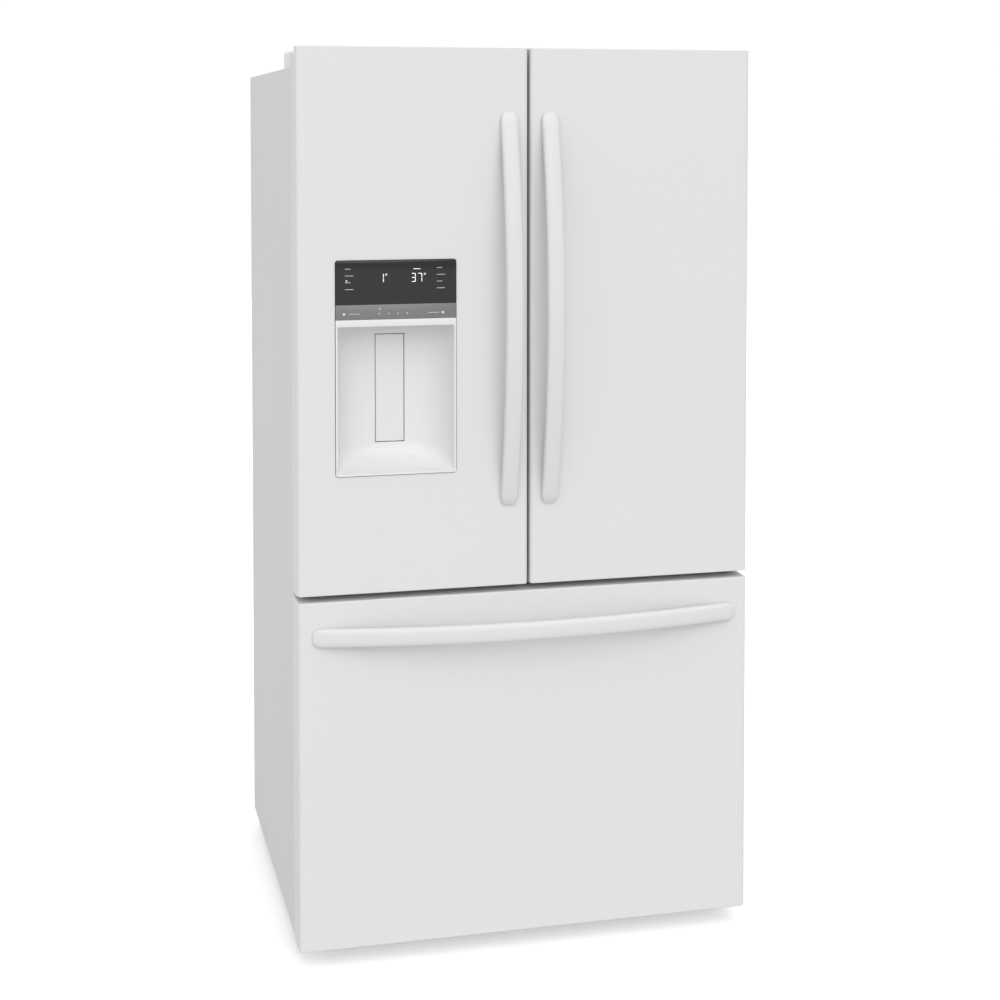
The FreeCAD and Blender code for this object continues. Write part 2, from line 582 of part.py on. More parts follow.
# ================================================================ dispenser
def chute_body(by):
    """Ice chute from under the ice bucket to the dispenser, as a solid, its walls moved in."""
    outlet = grow((FRONT + 21, FRONT + 61), -by)
    mouth = grow((SHELF_FRONT + 10, SHELF_FRONT + 50), -by)
    low = RECESS_Z[1] - 1
    bend = DISP_Z[1] - 41 - by / 2
    top = ICE_FLOOR - 2
    points = [(outlet[0], low - by), (outlet[0], bend), (mouth[0], bend + 80), (mouth[0], top + by),
              (mouth[1], top + by), (mouth[1], bend + 53 + by), (outlet[1], bend - 40 + by),
              (outlet[1], low - by)]
    x = grow(centred(DISP_MID, CHUTE_WIDE), -by)
    outline = Part.makePolygon([V(x[0], y, z) for y, z in points + points[:1]])
    return Part.Face(outline).extrude(V(x[1] - x[0], 0, 0))


def add_dispenser():
    """Frame, display, control strip, recess, paddle, ice chute and drip tray."""
    inner_x = grow(DISP_X, -RECESS_RIM)
    lip = block(DISP_X, (FRONT - FRAME_PROUD, FRONT), (DISP_Z[0], STRIP_Z[0]))
    neck = block(grow(DISP_X, -FRAME_RIM), (FRONT - 1, FRONT + FRAME_DEEP), grow(DISP_Z, -FRAME_RIM))
    ledge = block(DISP_X, (FRONT - FRAME_PROUD - 1, FRONT), (STRIP_Z[0], DISP_Z[1]))
    mouth = block(inner_x, grow((FRONT, FRONT + FRAME_DEEP), 9), RECESS_Z)
    PARTS["dispenser_frame"] = cut(fuse(lip, neck), ledge, mouth)
    PARTS["control_strip"] = block(DISP_X, (FRONT - FRAME_PROUD, FRONT), STRIP_Z)
    glass = block(DISP_X, (FRONT - FRAME_PROUD - 0.5, FRONT), (STRIP_Z[1], DISP_Z[1]))
    corners = [e for e in glass.Edges if e.BoundBox.YLength > 2 and e.BoundBox.ZMax > DISP_Z[1] - 1]
    PARTS["display_panel"] = glass.makeFillet(5, corners)

    back = FRONT + RECESS_DEEP
    mouth_y = FRONT + FRAME_DEEP
    outer = recess_block(grow(inner_x, RECESS_WALL), (mouth_y, back + RECESS_WALL),
                         grow(RECESS_Z, RECESS_WALL), RECESS_ROUND)
    hollow = recess_block(inner_x, (mouth_y - 1, back), RECESS_Z, RECESS_ROUND - RECESS_WALL)
    pocket_x = centred(DISP_MID, PADDLE_WIDE + 2 * PADDLE_GAP)
    pocket_z = grow(PADDLE_Z, PADDLE_GAP)
    box = block(grow(pocket_x, RECESS_WALL), (back, back + PADDLE_ROOM), grow(pocket_z, RECESS_WALL))
    pocket = block(pocket_x, (back - 1, back + PADDLE_ROOM - RECESS_WALL), pocket_z)
    PARTS["dispenser_cavity"] = cut(fuse(outer, box), hollow, pocket, chute_body(0))

    plate = block(centred(DISP_MID, PADDLE_WIDE), (back, back + PADDLE_THICK), PADDLE_Z)
    sides = [e for e in plate.Edges if e.BoundBox.YLength > PADDLE_THICK - 1]
    PARTS["paddle"] = plate.makeFillet(2, sides)
    PARTS["ice_chute"] = chute_body(0).cut(chute_body(CHUTE_WALL))

    tray_x = centred(DISP_MID, DISP_WIDE - 2 * RECESS_ROUND)
    tray_z = (RECESS_Z[0], RECESS_Z[0] + TRAY_THICK)
    tray = block(tray_x, (FRONT + 10, back - 2), tray_z)
    well = block(grow(tray_x, -4), (FRONT + 16, back - 6), (tray_z[0] + 3, tray_z[1] + 1))
    PARTS["drip_tray"] = tray.cut(well)


def recess_block(x, y, z, radius):
    """Box with its two upright back edges rounded."""
    box = block(x, y, z)
    back = [e for e in upright_edges(box) if abs(e.CenterOfMass.y - y[1]) < 0.01]
    return box.makeFillet(radius, back)


# ================================================================ fresh-food fittings
def add_fresh_fittings():
    """Shelves, drawers, air tower and lamps."""
    frames = []
    glass = []
    wide = (1 - IN_X, IN_X - 1)
    bays = ((wide, DELI_COVER_Z, 2), (wide, CRISPER_COVER_Z, 2), (wide, MID_SHELF_Z, 2),
            ((ICE_ROOM_X[1] + 1, wide[1]), TOP_SHELF_Z, 2))
    for x, z, panes in bays:
        frame, lights = shelf(x, z, panes)
        frames.append(frame)
        glass.extend(lights)
    PARTS["shelf_frames"] = frames
    PARTS["shelf_glass"] = glass

    drawer_y = (SHELF_FRONT + 5, SHELF_BACK - 10)
    floor = FRESH_Z[0] + LINER + TRACK_PLAY
    deli = tub(grow(wide, -9), drawer_y, (floor, floor + DELI_TALL), MOULDED, 12)
    PARTS["deli_drawer"] = deli.cut(finger_notch(0, 220, floor + DELI_TALL))
    base = DELI_COVER_Z + SHELF_TALL + TRACK_PLAY
    for side, x in (("left", (wide[0] + 9, -4.0)), ("right", (4.0, wide[1] - 9))):
        box = tub(x, drawer_y, (base, base + CRISPER_TALL), MOULDED, 12)
        notch = finger_notch((x[0] + x[1]) / 2, 120, base + CRISPER_TALL)
        PARTS["crisper_" + side] = box.cut(notch)

    tower = block((-70, 70), (IN_BACK - 22, IN_BACK), (CRISPER_COVER_Z, FRESH_Z[1] - LINER))
    duct = block((-62, 62), (IN_BACK - 19, IN_BACK - 3), (CRISPER_COVER_Z + 10, FRESH_Z[1] - 12))
    tower = tower.cut(duct)
    rows = int((FRESH_Z[1] - 40 - CRISPER_COVER_Z - 40) / 110)
    for i in range(rows):
        z = CRISPER_COVER_Z + 60 + i * 110
        for k in range(3):
            tower = tower.cut(block((-48, 48), (IN_BACK - 30, IN_BACK - 10), centred(z + k * 9, 4)))
    PARTS["air_tower"] = tower

    ceiling = FRESH_Z[1] - LINER
    lamps = [block((-120, 240), (SHELF_FRONT + 40, SHELF_FRONT + 100), (ceiling - 7, ceiling))]
    for side in (-1, 1):
        low, high = sorted((side * (IN_X - 4), side * IN_X))
        lamps.append(block((low, high), (SHELF_FRONT - 50, SHELF_FRONT - 25), (MID_SHELF_Z - 150, MID_SHELF_Z + 130)))
    PARTS["light_lenses"] = lamps


def finger_notch(middle, wide, top):
    """Scoop in a drawer's front wall."""
    return block(centred(middle, wide), (SHELF_FRONT, SHELF_FRONT + 12), (top - 22, top + 1))


def add_ice_and_water():
    """Ice room with its maker, bucket and auger, and the water filter."""
    y = (SHELF_FRONT + 10, SHELF_FRONT + 10 + ICE_ROOM_DEEP)
    top = FRESH_Z[1] - LINER
    room = block(ICE_ROOM_X, y, (ICE_FLOOR, top))
    inner = (grow(ICE_ROOM_X, -ICE_ROOM_WALL), (y[0] - 1, y[1] - ICE_ROOM_WALL),
             (ICE_FLOOR + ICE_ROOM_WALL, top - ICE_ROOM_WALL))
    drop = block(centred(DISP_MID, CHUTE_WIDE - 4), (SHELF_FRONT + 12, SHELF_FRONT + 48),
                 (ICE_FLOOR - 5, ICE_FLOOR + 40))
    ledge = block((ICE_ROOM_X[1] - 1, ICE_ROOM_X[1] + 7), (SHELF_FRONT + 20, SHELF_BACK),
                  (TOP_SHELF_Z - 8, TOP_SHELF_Z))
    PARTS["ice_housing"] = cut(fuse(room.cut(block(*inner)), ledge), drop)

    base = inner[2][0] + TRACK_PLAY
    box_y = (y[0] - 1, y[0] + 400)
    bucket = tub(grow(inner[0], -4), box_y, (base, base + 132), MOULDED, 8)
    fascia = block(grow(ICE_ROOM_X, -2), (y[0] - 13, y[0] - 1), (ICE_FLOOR + 3, top - 3))
    bucket = fuse(bucket, fascia)
    mid_x = (ICE_ROOM_X[0] + ICE_ROOM_X[1]) / 2
    axis_z = base + 42
    shaft_y = (y[0] - 6, y[0] + 412)
    bearing = rod((mid_x, shaft_y[0] - 0.5, axis_z), 4 + PIN_PLAY, shaft_y[1] - shaft_y[0] + 1, (0, 1, 0))
    PARTS["ice_bucket"] = cut(bucket, bearing, drop)
    shaft = rod((mid_x, shaft_y[0], axis_z), 4, shaft_y[1] - shaft_y[0], (0, 1, 0))
    flights = []
    for i in range(13):
        flight = block((0, 33), (-2, 2), (-8, 8))
        flight.rotate(V(0, 0, 0), V(0, 1, 0), i * 50)
        flight.translate(V(mid_x, y[0] + 20 + i * 28, axis_z))
        flights.append(flight)
    PARTS["auger"] = fuse(shaft, *flights)

    maker_y = (y[1] - ICE_ROOM_WALL - 300, y[1] - ICE_ROOM_WALL)
    maker_z = (top - ICE_ROOM_WALL - 62, top - ICE_ROOM_WALL - 2)
    maker = block(grow(inner[0], -6), maker_y, maker_z)
    for row in (-1, 1):
        for i in range(6):
            cell = block(centred(mid_x + row * 46, 80), centred(maker_y[0] + 30 + i * 36, 28),
                         (maker_z[1] - 34, maker_z[1] + 1))
            maker = maker.cut(cell)
    PARTS["ice_maker"] = maker

    x, y0, z = FILTER_AT
    body = rod((x, y0, z), FILTER_R, FILTER_LONG - 31, (0, 1, 0))
    neck = rod((x, y0 + 10, z), FILTER_R - 4, FILTER_LONG - 11, (0, 1, 0))
    grip = block(centred(x, 9), (y0 - 12, y0 + 1), centred(z, 2 * FILTER_R - 8))
    PARTS["water_filter"] = fuse(body, neck, grip)


# ================================================================ freezer
def add_freezer():
    """Drawer front, its seal and handle, the telescopic slides, the baskets and the fan cover."""
    x = (-WIDTH / 2, WIDTH / 2)
    z = (FLOOR_GAP, DRAWER_TOP)
    PARTS["drawer_shell"] = sheet_tray(x, (FRONT, DOOR_BACK), z)
    plate = block(grow(x, -SHEET), (DOOR_BACK - LINER, DOOR_BACK), grow(z, -SHEET))
    pan_x = (18 - IN_X, IN_X - 18)
    pan_z = (FREEZER_FLOOR + 15, FREEZER_Z[1] - 15)
    pan = block(pan_x, (DOOR_BACK - LINER, PAN_BACK), pan_z)
    hollow = block(grow(pan_x, -LINER), (DOOR_BACK - LINER - 1, PAN_BACK - LINER), grow(pan_z, -LINER))
    PARTS["drawer_liner"] = fuse(plate, pan).cut(hollow)
    seal_z = (FREEZER_FLOOR - 2 - GASKET_WIDTH, FREEZER_Z[1] + GASKET_WIDTH)
    PARTS["drawer_gasket"] = ring(grow(x, -GASKET_IN), (DOOR_BACK, CASE_FRONT - SEAL_GAP), seal_z, GASKET_WIDTH)
    level = DRAWER_TOP - DRAWER_HANDLE_DOWN
    PARTS["drawer_handle"] = bow_handle(x[0] + DRAWER_HANDLE_IN, x[1] - DRAWER_HANDLE_IN, DRAWER_HANDLE_TALL,
                                        lambda along, out, across: V(along, FRONT - out, across + level))

    track_y = (CASE_FRONT + 8, CASE_FRONT + 8 + TRACK_LONG)
    band = (TRACK_Z, TRACK_Z + TRACK_TALL)
    fixed = channel((IN_X - 8, IN_X), track_y, band, 1)
    PARTS["fixed_rails"] = [fixed, mirrored(fixed)]
    play = 1.5 + TRACK_PLAY
    middle = fuse(block((IN_X - 6, IN_X - play), grow(track_y, -3), grow(band, -play)),
                  block((IN_X - 14, IN_X - 5), grow(track_y, -3), grow(band, -15)),
                  block((IN_X - 19, IN_X - 13), grow(track_y, -3), grow(band, -play)))
    PARTS["middle_rails"] = [middle, mirrored(middle)]
    runner = channel((IN_X - 19 - play, IN_X - 13), track_y, band, -1)
    bracket = block((IN_X - 60, IN_X - 19 - TRACK_PLAY), (PAN_BACK, PAN_BACK + 3), grow(band, 20))
    stem = block((IN_X - 21, IN_X - 19 - TRACK_PLAY), (PAN_BACK, track_y[0] + 1), band)
    runner = fuse(runner, bracket, stem)
    PARTS["drawer_rails"] = [runner, mirrored(runner)]

    rim_x = (19 + play - IN_X, IN_X - 19 - play)
    tub_x = grow(rim_x, -12)
    lower_y = (PAN_BACK + 14, STEP_Y - LINER - 20)
    lower_z = (band[1] - LOWER_TALL + MOULDED, band[1] + MOULDED)
    rim = block(grow(rim_x, 2), grow(lower_y, -4), (band[1], band[1] + MOULDED))
    well = tub(tub_x, lower_y, lower_z, MOULDED, 14)
    PARTS["lower_basket"] = fuse(well, rim.cut(block(grow(tub_x, -1.5), grow(lower_y, 1), grow(band, 50))))

    upper_y = (PAN_BACK + 26, IN_BACK - 52)
    upper_z = (UPPER_Z + TRACK_PLAY, UPPER_Z + TRACK_PLAY + UPPER_TALL)
    PARTS["upper_basket"] = tub((8 - IN_X, IN_X - 8), upper_y, upper_z, MOULDED, 14)

    cover_y = (IN_BACK - 37, IN_BACK - 34)
    cover = block((-IN_X, IN_X), cover_y, (STEP_Z + LINER, FREEZER_Z[1] - LINER))
    cover = cover.cut(rod((0, cover_y[0] - 1, EVAP_FAN_Z), 50, 5, (0, 1, 0)))
    spokes = [block((-52, 52), cover_y, centred(EVAP_FAN_Z + dz, 3)) for dz in (-30, -15, 0, 15, 30)]
    cover = fuse(cover, *spokes)
    motor = rod((0, IN_BACK - 12, EVAP_FAN_Z), 18, 12, (0, 1, 0))
    shaft = rod((0, IN_BACK - 30, EVAP_FAN_Z), FAN_SHAFT_R, 20, (0, 1, 0))
    PARTS["evaporator_cover"] = [cover, fuse(motor, shaft)]
    PARTS["evaporator_fan"] = fan((0, IN_BACK - 22, EVAP_FAN_Z), (1, 0, 0), 46)


def channel(x, y, z, side):
    """Rolled steel channel, open along X; side 1 has its web at the high end of X."""
    outer = block(x, y, z)
    web = (x[0] - 1, x[1] - 1.5) if side > 0 else (x[0] + 1.5, x[1] + 1)
    return outer.cut(block(web, grow(y, 1), grow(z, -1.5)))


# ================================================================ places shared by several pieces
PIN_X = PIN_IN - WIDTH / 2
PIN_Y = FRONT + PIN_DEEP
DOOR_X = (-WIDTH / 2, -DOOR_GAP / 2)
DOOR_Z = (DOOR_BOTTOM, HEIGHT)
RIDGE_X = (DOOR_X[0] + RIDGE_IN, -RIDGE_CENTRE)
RIDGE_Z = (FRESH_Z[0] + 15, FRESH_Z[1] - 22)
DISP_X = (DOOR_X[0] + DISP_IN, DOOR_X[0] + DISP_IN + DISP_WIDE)
DISP_Z = (DOOR_BOTTOM + DISP_UP, DOOR_BOTTOM + DISP_UP + DISP_TALL)
DISP_MID = (DISP_X[0] + DISP_X[1]) / 2
STRIP_Z = (DISP_Z[1] - DISPLAY_TALL - STRIP_TALL, DISP_Z[1] - DISPLAY_TALL)
RECESS_Z = (DISP_Z[0] + RECESS_RIM, STRIP_Z[0] - RECESS_TOP)
PADDLE_Z = (RECESS_Z[0] + PADDLE_UP, RECESS_Z[0] + PADDLE_UP + PADDLE_TALL)
BUMP_BACK = FRONT + RECESS_DEEP + PADDLE_ROOM + LINER + 2
PAN_BACK = DOOR_BACK + 20
FLAP_X = -DOOR_GAP / 2 - GASKET_IN - 5.5
ICE_FLOOR = DISP_Z[1] + 74
ICE_ROOM_X = (-IN_X, ICE_ROOM_WIDE - IN_X)
DELI_COVER_Z = FRESH_Z[0] + LINER + DELI_TALL + 8
CRISPER_COVER_Z = DELI_COVER_Z + SHELF_TALL + CRISPER_TALL + 10
MID_SHELF_Z = ICE_FLOOR - 170
TOP_SHELF_Z = ICE_FLOOR + 40
FILTER_AT = (IN_X - 62, SHELF_FRONT + 25, FRESH_Z[1] - LINER - 38)
ROLLER_Y = BACK - 64
LEG_Y = CASE_FRONT + 53
FAN_Y = BACK - 94
FAN_Z = 160.0
EVAP_FAN_Z = 560.0
GLAND_X = CASE_X - 120
GLAND_Z = MACHINE_TOP - 20
VALVE_X = 40 - CASE_X
VALVE_Z = 110.0
VALVE_R = 5.55


def main():
    """Build every piece and write it to its own file."""
    add_cabinet()
    add_base()
    add_machine_space()
    add_feet()
    add_hinges()
    add_doors()
    add_dispenser()
    add_fresh_fittings()
    add_ice_and_water()
    add_freezer()
    os.makedirs("parts", exist_ok=True)
    for name, made in PARTS.items():
        pieces = made if isinstance(made, list) else [made]
        solids = [solid for piece in pieces for solid in piece.Solids]
        whole = solids[0] if len(solids) == 1 else Part.makeCompound(solids)
        whole.exportStep("parts/" + name + ".step")
        print(f"{name}: {len(solids)} solid(s), {sum(s.Volume for s in solids) / 1e6:.3f} litres,"
              f" valid {all(s.isValid() for s in solids)}")
    print(len(PARTS), "nodes")


main()
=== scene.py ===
# %% [markdown]
# # French door refrigerator
# Two doors close the fresh-food room, one drawer closes the freezer below it, and
# the left door carries an ice and water dispenser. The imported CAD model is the
# frame of this scene: each piece made here rides on one of its bodies and stays
# inside its box. First come the imports and the frame itself.

import json
import math

import bmesh
import bpy
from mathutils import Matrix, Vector

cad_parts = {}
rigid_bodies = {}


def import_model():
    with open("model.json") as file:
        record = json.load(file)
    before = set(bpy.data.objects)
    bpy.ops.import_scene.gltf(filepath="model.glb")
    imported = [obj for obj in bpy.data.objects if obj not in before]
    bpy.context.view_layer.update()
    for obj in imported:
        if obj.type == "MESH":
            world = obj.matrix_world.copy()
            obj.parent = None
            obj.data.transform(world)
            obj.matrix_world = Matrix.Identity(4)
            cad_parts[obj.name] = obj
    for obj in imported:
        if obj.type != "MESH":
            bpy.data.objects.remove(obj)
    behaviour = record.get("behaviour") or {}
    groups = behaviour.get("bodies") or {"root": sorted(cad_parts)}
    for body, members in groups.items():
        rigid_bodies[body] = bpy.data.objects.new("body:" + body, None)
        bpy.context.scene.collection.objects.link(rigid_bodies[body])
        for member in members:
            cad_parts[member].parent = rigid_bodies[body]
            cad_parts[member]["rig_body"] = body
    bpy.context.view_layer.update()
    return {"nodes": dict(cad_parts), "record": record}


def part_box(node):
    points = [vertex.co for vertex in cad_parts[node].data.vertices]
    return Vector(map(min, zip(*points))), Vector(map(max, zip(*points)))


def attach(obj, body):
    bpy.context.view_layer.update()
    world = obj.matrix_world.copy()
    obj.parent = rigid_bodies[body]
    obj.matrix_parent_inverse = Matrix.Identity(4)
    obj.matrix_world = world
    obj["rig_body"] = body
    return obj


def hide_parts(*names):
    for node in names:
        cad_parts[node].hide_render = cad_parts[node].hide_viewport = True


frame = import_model()
NODES = frame["nodes"]
SLOT_OF = {part["node"]: part["material_slot"] for part in frame["record"]["subparts"]}
BODY_OF = {node: obj["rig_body"] for node, obj in NODES.items()}

# %% [markdown]
# ## The camera
# A tall box looks natural when its upright edges stay nearly parallel. So the
# camera is level with the doors' tops, tilts down only slightly, and its lens is
# shifted down, as with a view camera, to take in the whole height.

# %% Camera
CAMERA_AT = (-0.9133, -3.8025, 1.6108)
CAMERA_TURN = 0.2438
CAMERA_DIP = 0.0432
aim = Vector((
    math.sin(CAMERA_TURN) * math.cos(CAMERA_DIP),
    math.cos(CAMERA_TURN) * math.cos(CAMERA_DIP),
    -math.sin(CAMERA_DIP),
))


def placed(name, data):
    """New object of some data, in the scene."""
    obj = bpy.data.objects.new(name, data)
    bpy.context.scene.collection.objects.link(obj)
    return obj


camera = placed("camera", bpy.data.cameras.new("camera"))
camera.location = CAMERA_AT
camera.rotation_mode = "QUATERNION"
camera.rotation_quaternion = aim.to_track_quat("-Z", "Y")
camera.data.lens = 66.0
camera.data.shift_y = -0.289
bpy.context.scene.camera = camera
print("camera aims along", [round(v, 3) for v in aim])

# %% [markdown]
# ## The light
# White goods are shown in a white studio. The world gives an even part, and a
# wide soft sun above keeps the floor white as far as the horizon. A second one in
# front makes the doors a little brighter than the side, and a lamp high on the
# left shades the side from top to bottom.

# %% World and lamps
def fill(node, **values):
    """Set some of a node's inputs; an underscore in a name stands for a space."""
    for socket, value in values.items():
        node.inputs[socket.replace("_", " ")].default_value = value
    return node


def add(tree, kind, **values):
    """New node of a kind, with some of its inputs set."""
    return fill(tree.nodes.new(kind), **values)


def wire(tree, *links):
    """Link nodes of a tree; each link is (node, its output, node, its input)."""
    for source, out, target, into in links:
        tree.links.new(source.outputs[out], target.inputs[into])


world = bpy.data.worlds.new("studio")
bpy.context.scene.world = world
world.use_nodes = True
sky = world.node_tree
sky_light = fill(sky.nodes["Background"], Color=(1.0, 0.998, 0.994, 1), Strength=0.70)
seen = add(sky, "ShaderNodeBackground", Color=(1, 1, 1, 1), Strength=1.02)
pick = add(sky, "ShaderNodeMixShader")
rays = add(sky, "ShaderNodeLightPath")
direct = add(sky, "ShaderNodeMath")
direct.operation = "MAXIMUM"
wire(sky, (rays, "Is Camera Ray", direct, 0), (rays, "Is Glossy Ray", direct, 1), (direct, 0, pick, 0),
     (sky_light, 0, pick, 1), (seen, 0, pick, 2), (pick, 0, sky.nodes["World Output"], "Surface"))


def lamp(name, kind, at, towards, power):
    """Lamp of a kind that faces a point."""
    light = bpy.data.lights.new(name, kind)
    light.energy = power
    holder = placed(name, light)
    holder.location = at
    holder.rotation_euler = (Vector(towards) - Vector(at)).to_track_quat("-Z", "Y").to_euler()
    return light


lamp("over", "SUN", (0.0, -0.8, 6.0), (0.0, -0.3, 0.0), 0.70).angle = math.radians(70)
lamp("front", "SUN", (0.2, -4.2, 3.3), (0.0, -0.3, 1.0), 1.32).angle = math.radians(60)
lamp("left", "AREA", (-4.2, -2.2, 3.4), (-0.4, 0.1, 1.1), 24).size = 2.8
bpy.context.scene.view_settings.view_transform = "Standard"

# %% [markdown]
# ## Finishes
# Most of this object is white, so its materials differ in small things: how much
# the gloss wanders, how fine the grain is, and how slowly the colour drifts. One
# helper builds that kind of surface from a slow and a fine noise on Object
# coordinates, and from crystal cells where a metal has them. The numbers that are
# the same all over a surface go straight onto the shader.

# %% Helper for a finish
FINISH = {}
FINE_GRAIN = 600  # a grain finer than this is too small to vary the gloss


def noise(tree, place, scale, detail):
    """Noise texture on a piece's own coordinates."""
    texture = add(tree, "ShaderNodeTexNoise", Scale=scale, Detail=detail)
    wire(tree, (place, "Object", texture, "Vector"))
    return texture


def finish(name, light, dark, gloss, grain, bump, drift=3.0, cells=0.0, **shader):
    """Surface whose colour drifts from light to dark and whose gloss and height are grained."""
    mat = bpy.data.materials.new(name)
    mat.use_nodes = True
    tree = mat.node_tree
    bsdf = fill(tree.nodes["Principled BSDF"], **shader)
    place = add(tree, "ShaderNodeTexCoord")
    slow = noise(tree, place, drift, 3.0)
    fine = noise(tree, place, grain, 2.0)
    pattern = (slow, "Fac")
    if cells:
        crystals = add(tree, "ShaderNodeTexVoronoi", Scale=cells)
        wire(tree, (place, "Object", crystals, "Vector"))
        pattern = (crystals, "Color")
    blend = add(tree, "ShaderNodeMix")
    blend.data_type = "RGBA"
    blend.inputs[6].default_value = (*light, 1)
    blend.inputs[7].default_value = (*dark, 1)
    spread = add(tree, "ShaderNodeMapRange", From_Min=0.3, From_Max=0.7, To_Min=gloss[0], To_Max=gloss[1])
    relief = add(tree, "ShaderNodeBump", Strength=0.5, Distance=bump)
    wire(tree, (*pattern, blend, 0), (blend, 2, bsdf, "Base Color"),
         (slow if grain > FINE_GRAIN else fine, "Fac", spread, "Value"),
         (spread, "Result", bsdf, "Roughness"), (fine, "Fac", relief, "Height"),
         (relief, "Normal", bsdf, "Normal"))
    FINISH[name] = mat


# %% [markdown]
# ### Paint and plastics
# The doors and the cabinet are painted sheet steel, baked to a satin gloss with
# the faint waviness that painters call orange peel. The cabinet's finish is pebbled
# and a little darker than the doors': that darker tone is painted shade for its side.
# Handles, covers and the dispenser are moulded in a plastic of the same white. The
# liner is a colder, glossier white, vacuum-formed from one sheet.

# %% White finishes
finish("white_enamel", (0.672, 0.671, 0.665), (0.660, 0.659, 0.653), (0.48, 0.56), 420, 0.00006,
       drift=2.2, Specular_IOR_Level=0.32)
# pebbled texture on the cabinet, its colour a little darker than the doors' enamel as painted shade for the
# side
finish("pebbled_enamel", (0.650, 0.649, 0.644), (0.636, 0.635, 0.630), (0.58, 0.66), 520, 0.00022,
       drift=2.2, Specular_IOR_Level=0.30)
finish("handle_enamel", (0.658, 0.657, 0.651), (0.646, 0.645, 0.639), (0.44, 0.52), 640, 0.00003,
       drift=4.0, Specular_IOR_Level=0.32)
finish("white_moulding", (0.705, 0.705, 0.700), (0.691, 0.691, 0.686), (0.34, 0.44), 900, 0.00004,
       drift=5.0, Specular_IOR_Level=0.45)
finish("white_liner", (0.835, 0.840, 0.840), (0.815, 0.822, 0.825), (0.20, 0.28), 240, 0.00010, drift=4.0)
finish("filter_white", (0.80, 0.81, 0.83), (0.77, 0.78, 0.81), (0.25, 0.33), 700, 0.00004, drift=14.0)
finish("lamp_lens", (0.92, 0.93, 0.92), (0.88, 0.89, 0.88), (0.42, 0.52), 1500, 0.00010, drift=20.0,
       Transmission_Weight=0.25)
print("white finishes:", sorted(FINISH))

# %% [markdown]
# ### Metals
# Hidden steel is galvanised, and its zinc shows as crystals a few millimetres
# wide, which Voronoi cells imitate. The compressor is dipped in black enamel.
# Condenser fins are dull aluminium on copper tubes.

# %% Metal finishes
finish("bare_steel", (0.60, 0.61, 0.62), (0.47, 0.48, 0.50), (0.30, 0.48), 90, 0.00004,
       cells=110.0, Metallic=1.0)
finish("black_steel", (0.022, 0.022, 0.024), (0.034, 0.033, 0.033), (0.22, 0.34), 150, 0.00016, drift=9.0)
finish("copper_fins", (0.66, 0.66, 0.65), (0.56, 0.55, 0.53), (0.34, 0.50), 300, 0.00005,
       drift=25.0, Metallic=1.0)
finish("copper_tube", (0.72, 0.36, 0.20), (0.60, 0.27, 0.14), (0.26, 0.44), 220, 0.00005,
       drift=30.0, Metallic=1.0)
finish("screw_steel", (0.30, 0.30, 0.31), (0.24, 0.24, 0.25), (0.30, 0.42), 800, 0.00002,
       drift=80.0, Metallic=1.0)

# %% [markdown]
# ### Dark parts, rubber and foam
# The display is a pane of smoked glass, the strip below it a grey touch panel.
# Seals are soft vinyl with a dusty, matte skin. Foam is only seen where the
# cabinet is open at its base, and its skin is full of small cells.

# %% Dark and soft finishes
finish("display_glass", (0.010, 0.010, 0.010), (0.014, 0.014, 0.014), (0.05, 0.09), 900, 0.00001, drift=6.0,
       Specular_IOR_Level=0.34)
finish("grey_strip", (0.168, 0.168, 0.168), (0.158, 0.158, 0.158), (0.24, 0.32), 1200, 0.00003, drift=12.0)
finish("grey_moulding", (0.34, 0.35, 0.36), (0.30, 0.31, 0.32), (0.45, 0.58), 800, 0.00010, drift=9.0)
finish("black_moulding", (0.030, 0.030, 0.031), (0.044, 0.043, 0.043), (0.42, 0.58), 700, 0.00012, drift=18.0)
finish("gasket_rubber", (0.58, 0.58, 0.57), (0.52, 0.52, 0.51), (0.58, 0.72), 500, 0.00016, drift=14.0)
# seam_shadow is a near-black colour for painted shadow, where the gap round the dispenser surround falls into
# shade
finish("seam_shadow", (0.030, 0.030, 0.030), (0.045, 0.045, 0.044), (0.60, 0.75), 400, 0.00006, drift=30.0)
finish("foam", (0.80, 0.69, 0.42), (0.66, 0.53, 0.28), (0.75, 0.92), 260, 0.00120, cells=140.0)
finish("print_white", (0.62, 0.62, 0.62), (0.55, 0.55, 0.55), (0.35, 0.45), 900, 0.00001, drift=60.0)
finish("lit_white", (0.90, 0.92, 0.95), (0.84, 0.86, 0.90), (0.30, 0.40), 900, 0.00001, drift=60.0,
       Emission_Color=(0.92, 0.95, 1.0, 1), Emission_Strength=0.40)

# %% [markdown]
# ### Clear parts
# Bins and drawers are clear polystyrene with a cool tint that gathers at their
# edges, and the shelves are tempered glass with a green cast. Both are mostly
# see-through, so each of a wall's two skins covers only part of what is behind
# it, and light reaches the shelves and drawers below.

# %% Clear finishes
finish("clear_bin", (0.965, 0.980, 0.985), (0.950, 0.970, 0.978), (0.08, 0.16), 160, 0.00006, drift=7.0,
       Alpha=0.26, IOR=1.50)
finish("shelf_glass", (0.95, 0.985, 0.97), (0.93, 0.975, 0.955), (0.02, 0.05), 120, 0.00002, drift=4.0,
       Alpha=0.20, IOR=1.52)
print(len(FINISH), "finishes")

# %% [markdown]
# ## Helpers for pieces
# A piece is a plain mesh at the origin whose points are already in place. The
# helper merges doubled points, turns every face outwards, smooths what is not an
# edge, gives the finish and lets the piece ride on its body.

# %% Make a piece
MM = 0.001
SAME = 1e-6  # points nearer than this are one point


def edit_mesh(data):
    """Edit mesh of a mesh, its doubled points merged."""
    mesh = bmesh.new()
    mesh.from_mesh(data)
    bmesh.ops.remove_doubles(mesh, verts=mesh.verts, dist=SAME)
    return mesh


def span(node, solid=None):
    """(low, high) along each axis for a CAD node, or for one of its solids."""
    low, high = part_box(node) if solid is None else solids_of(node)[solid]
    return list(zip(low, high))


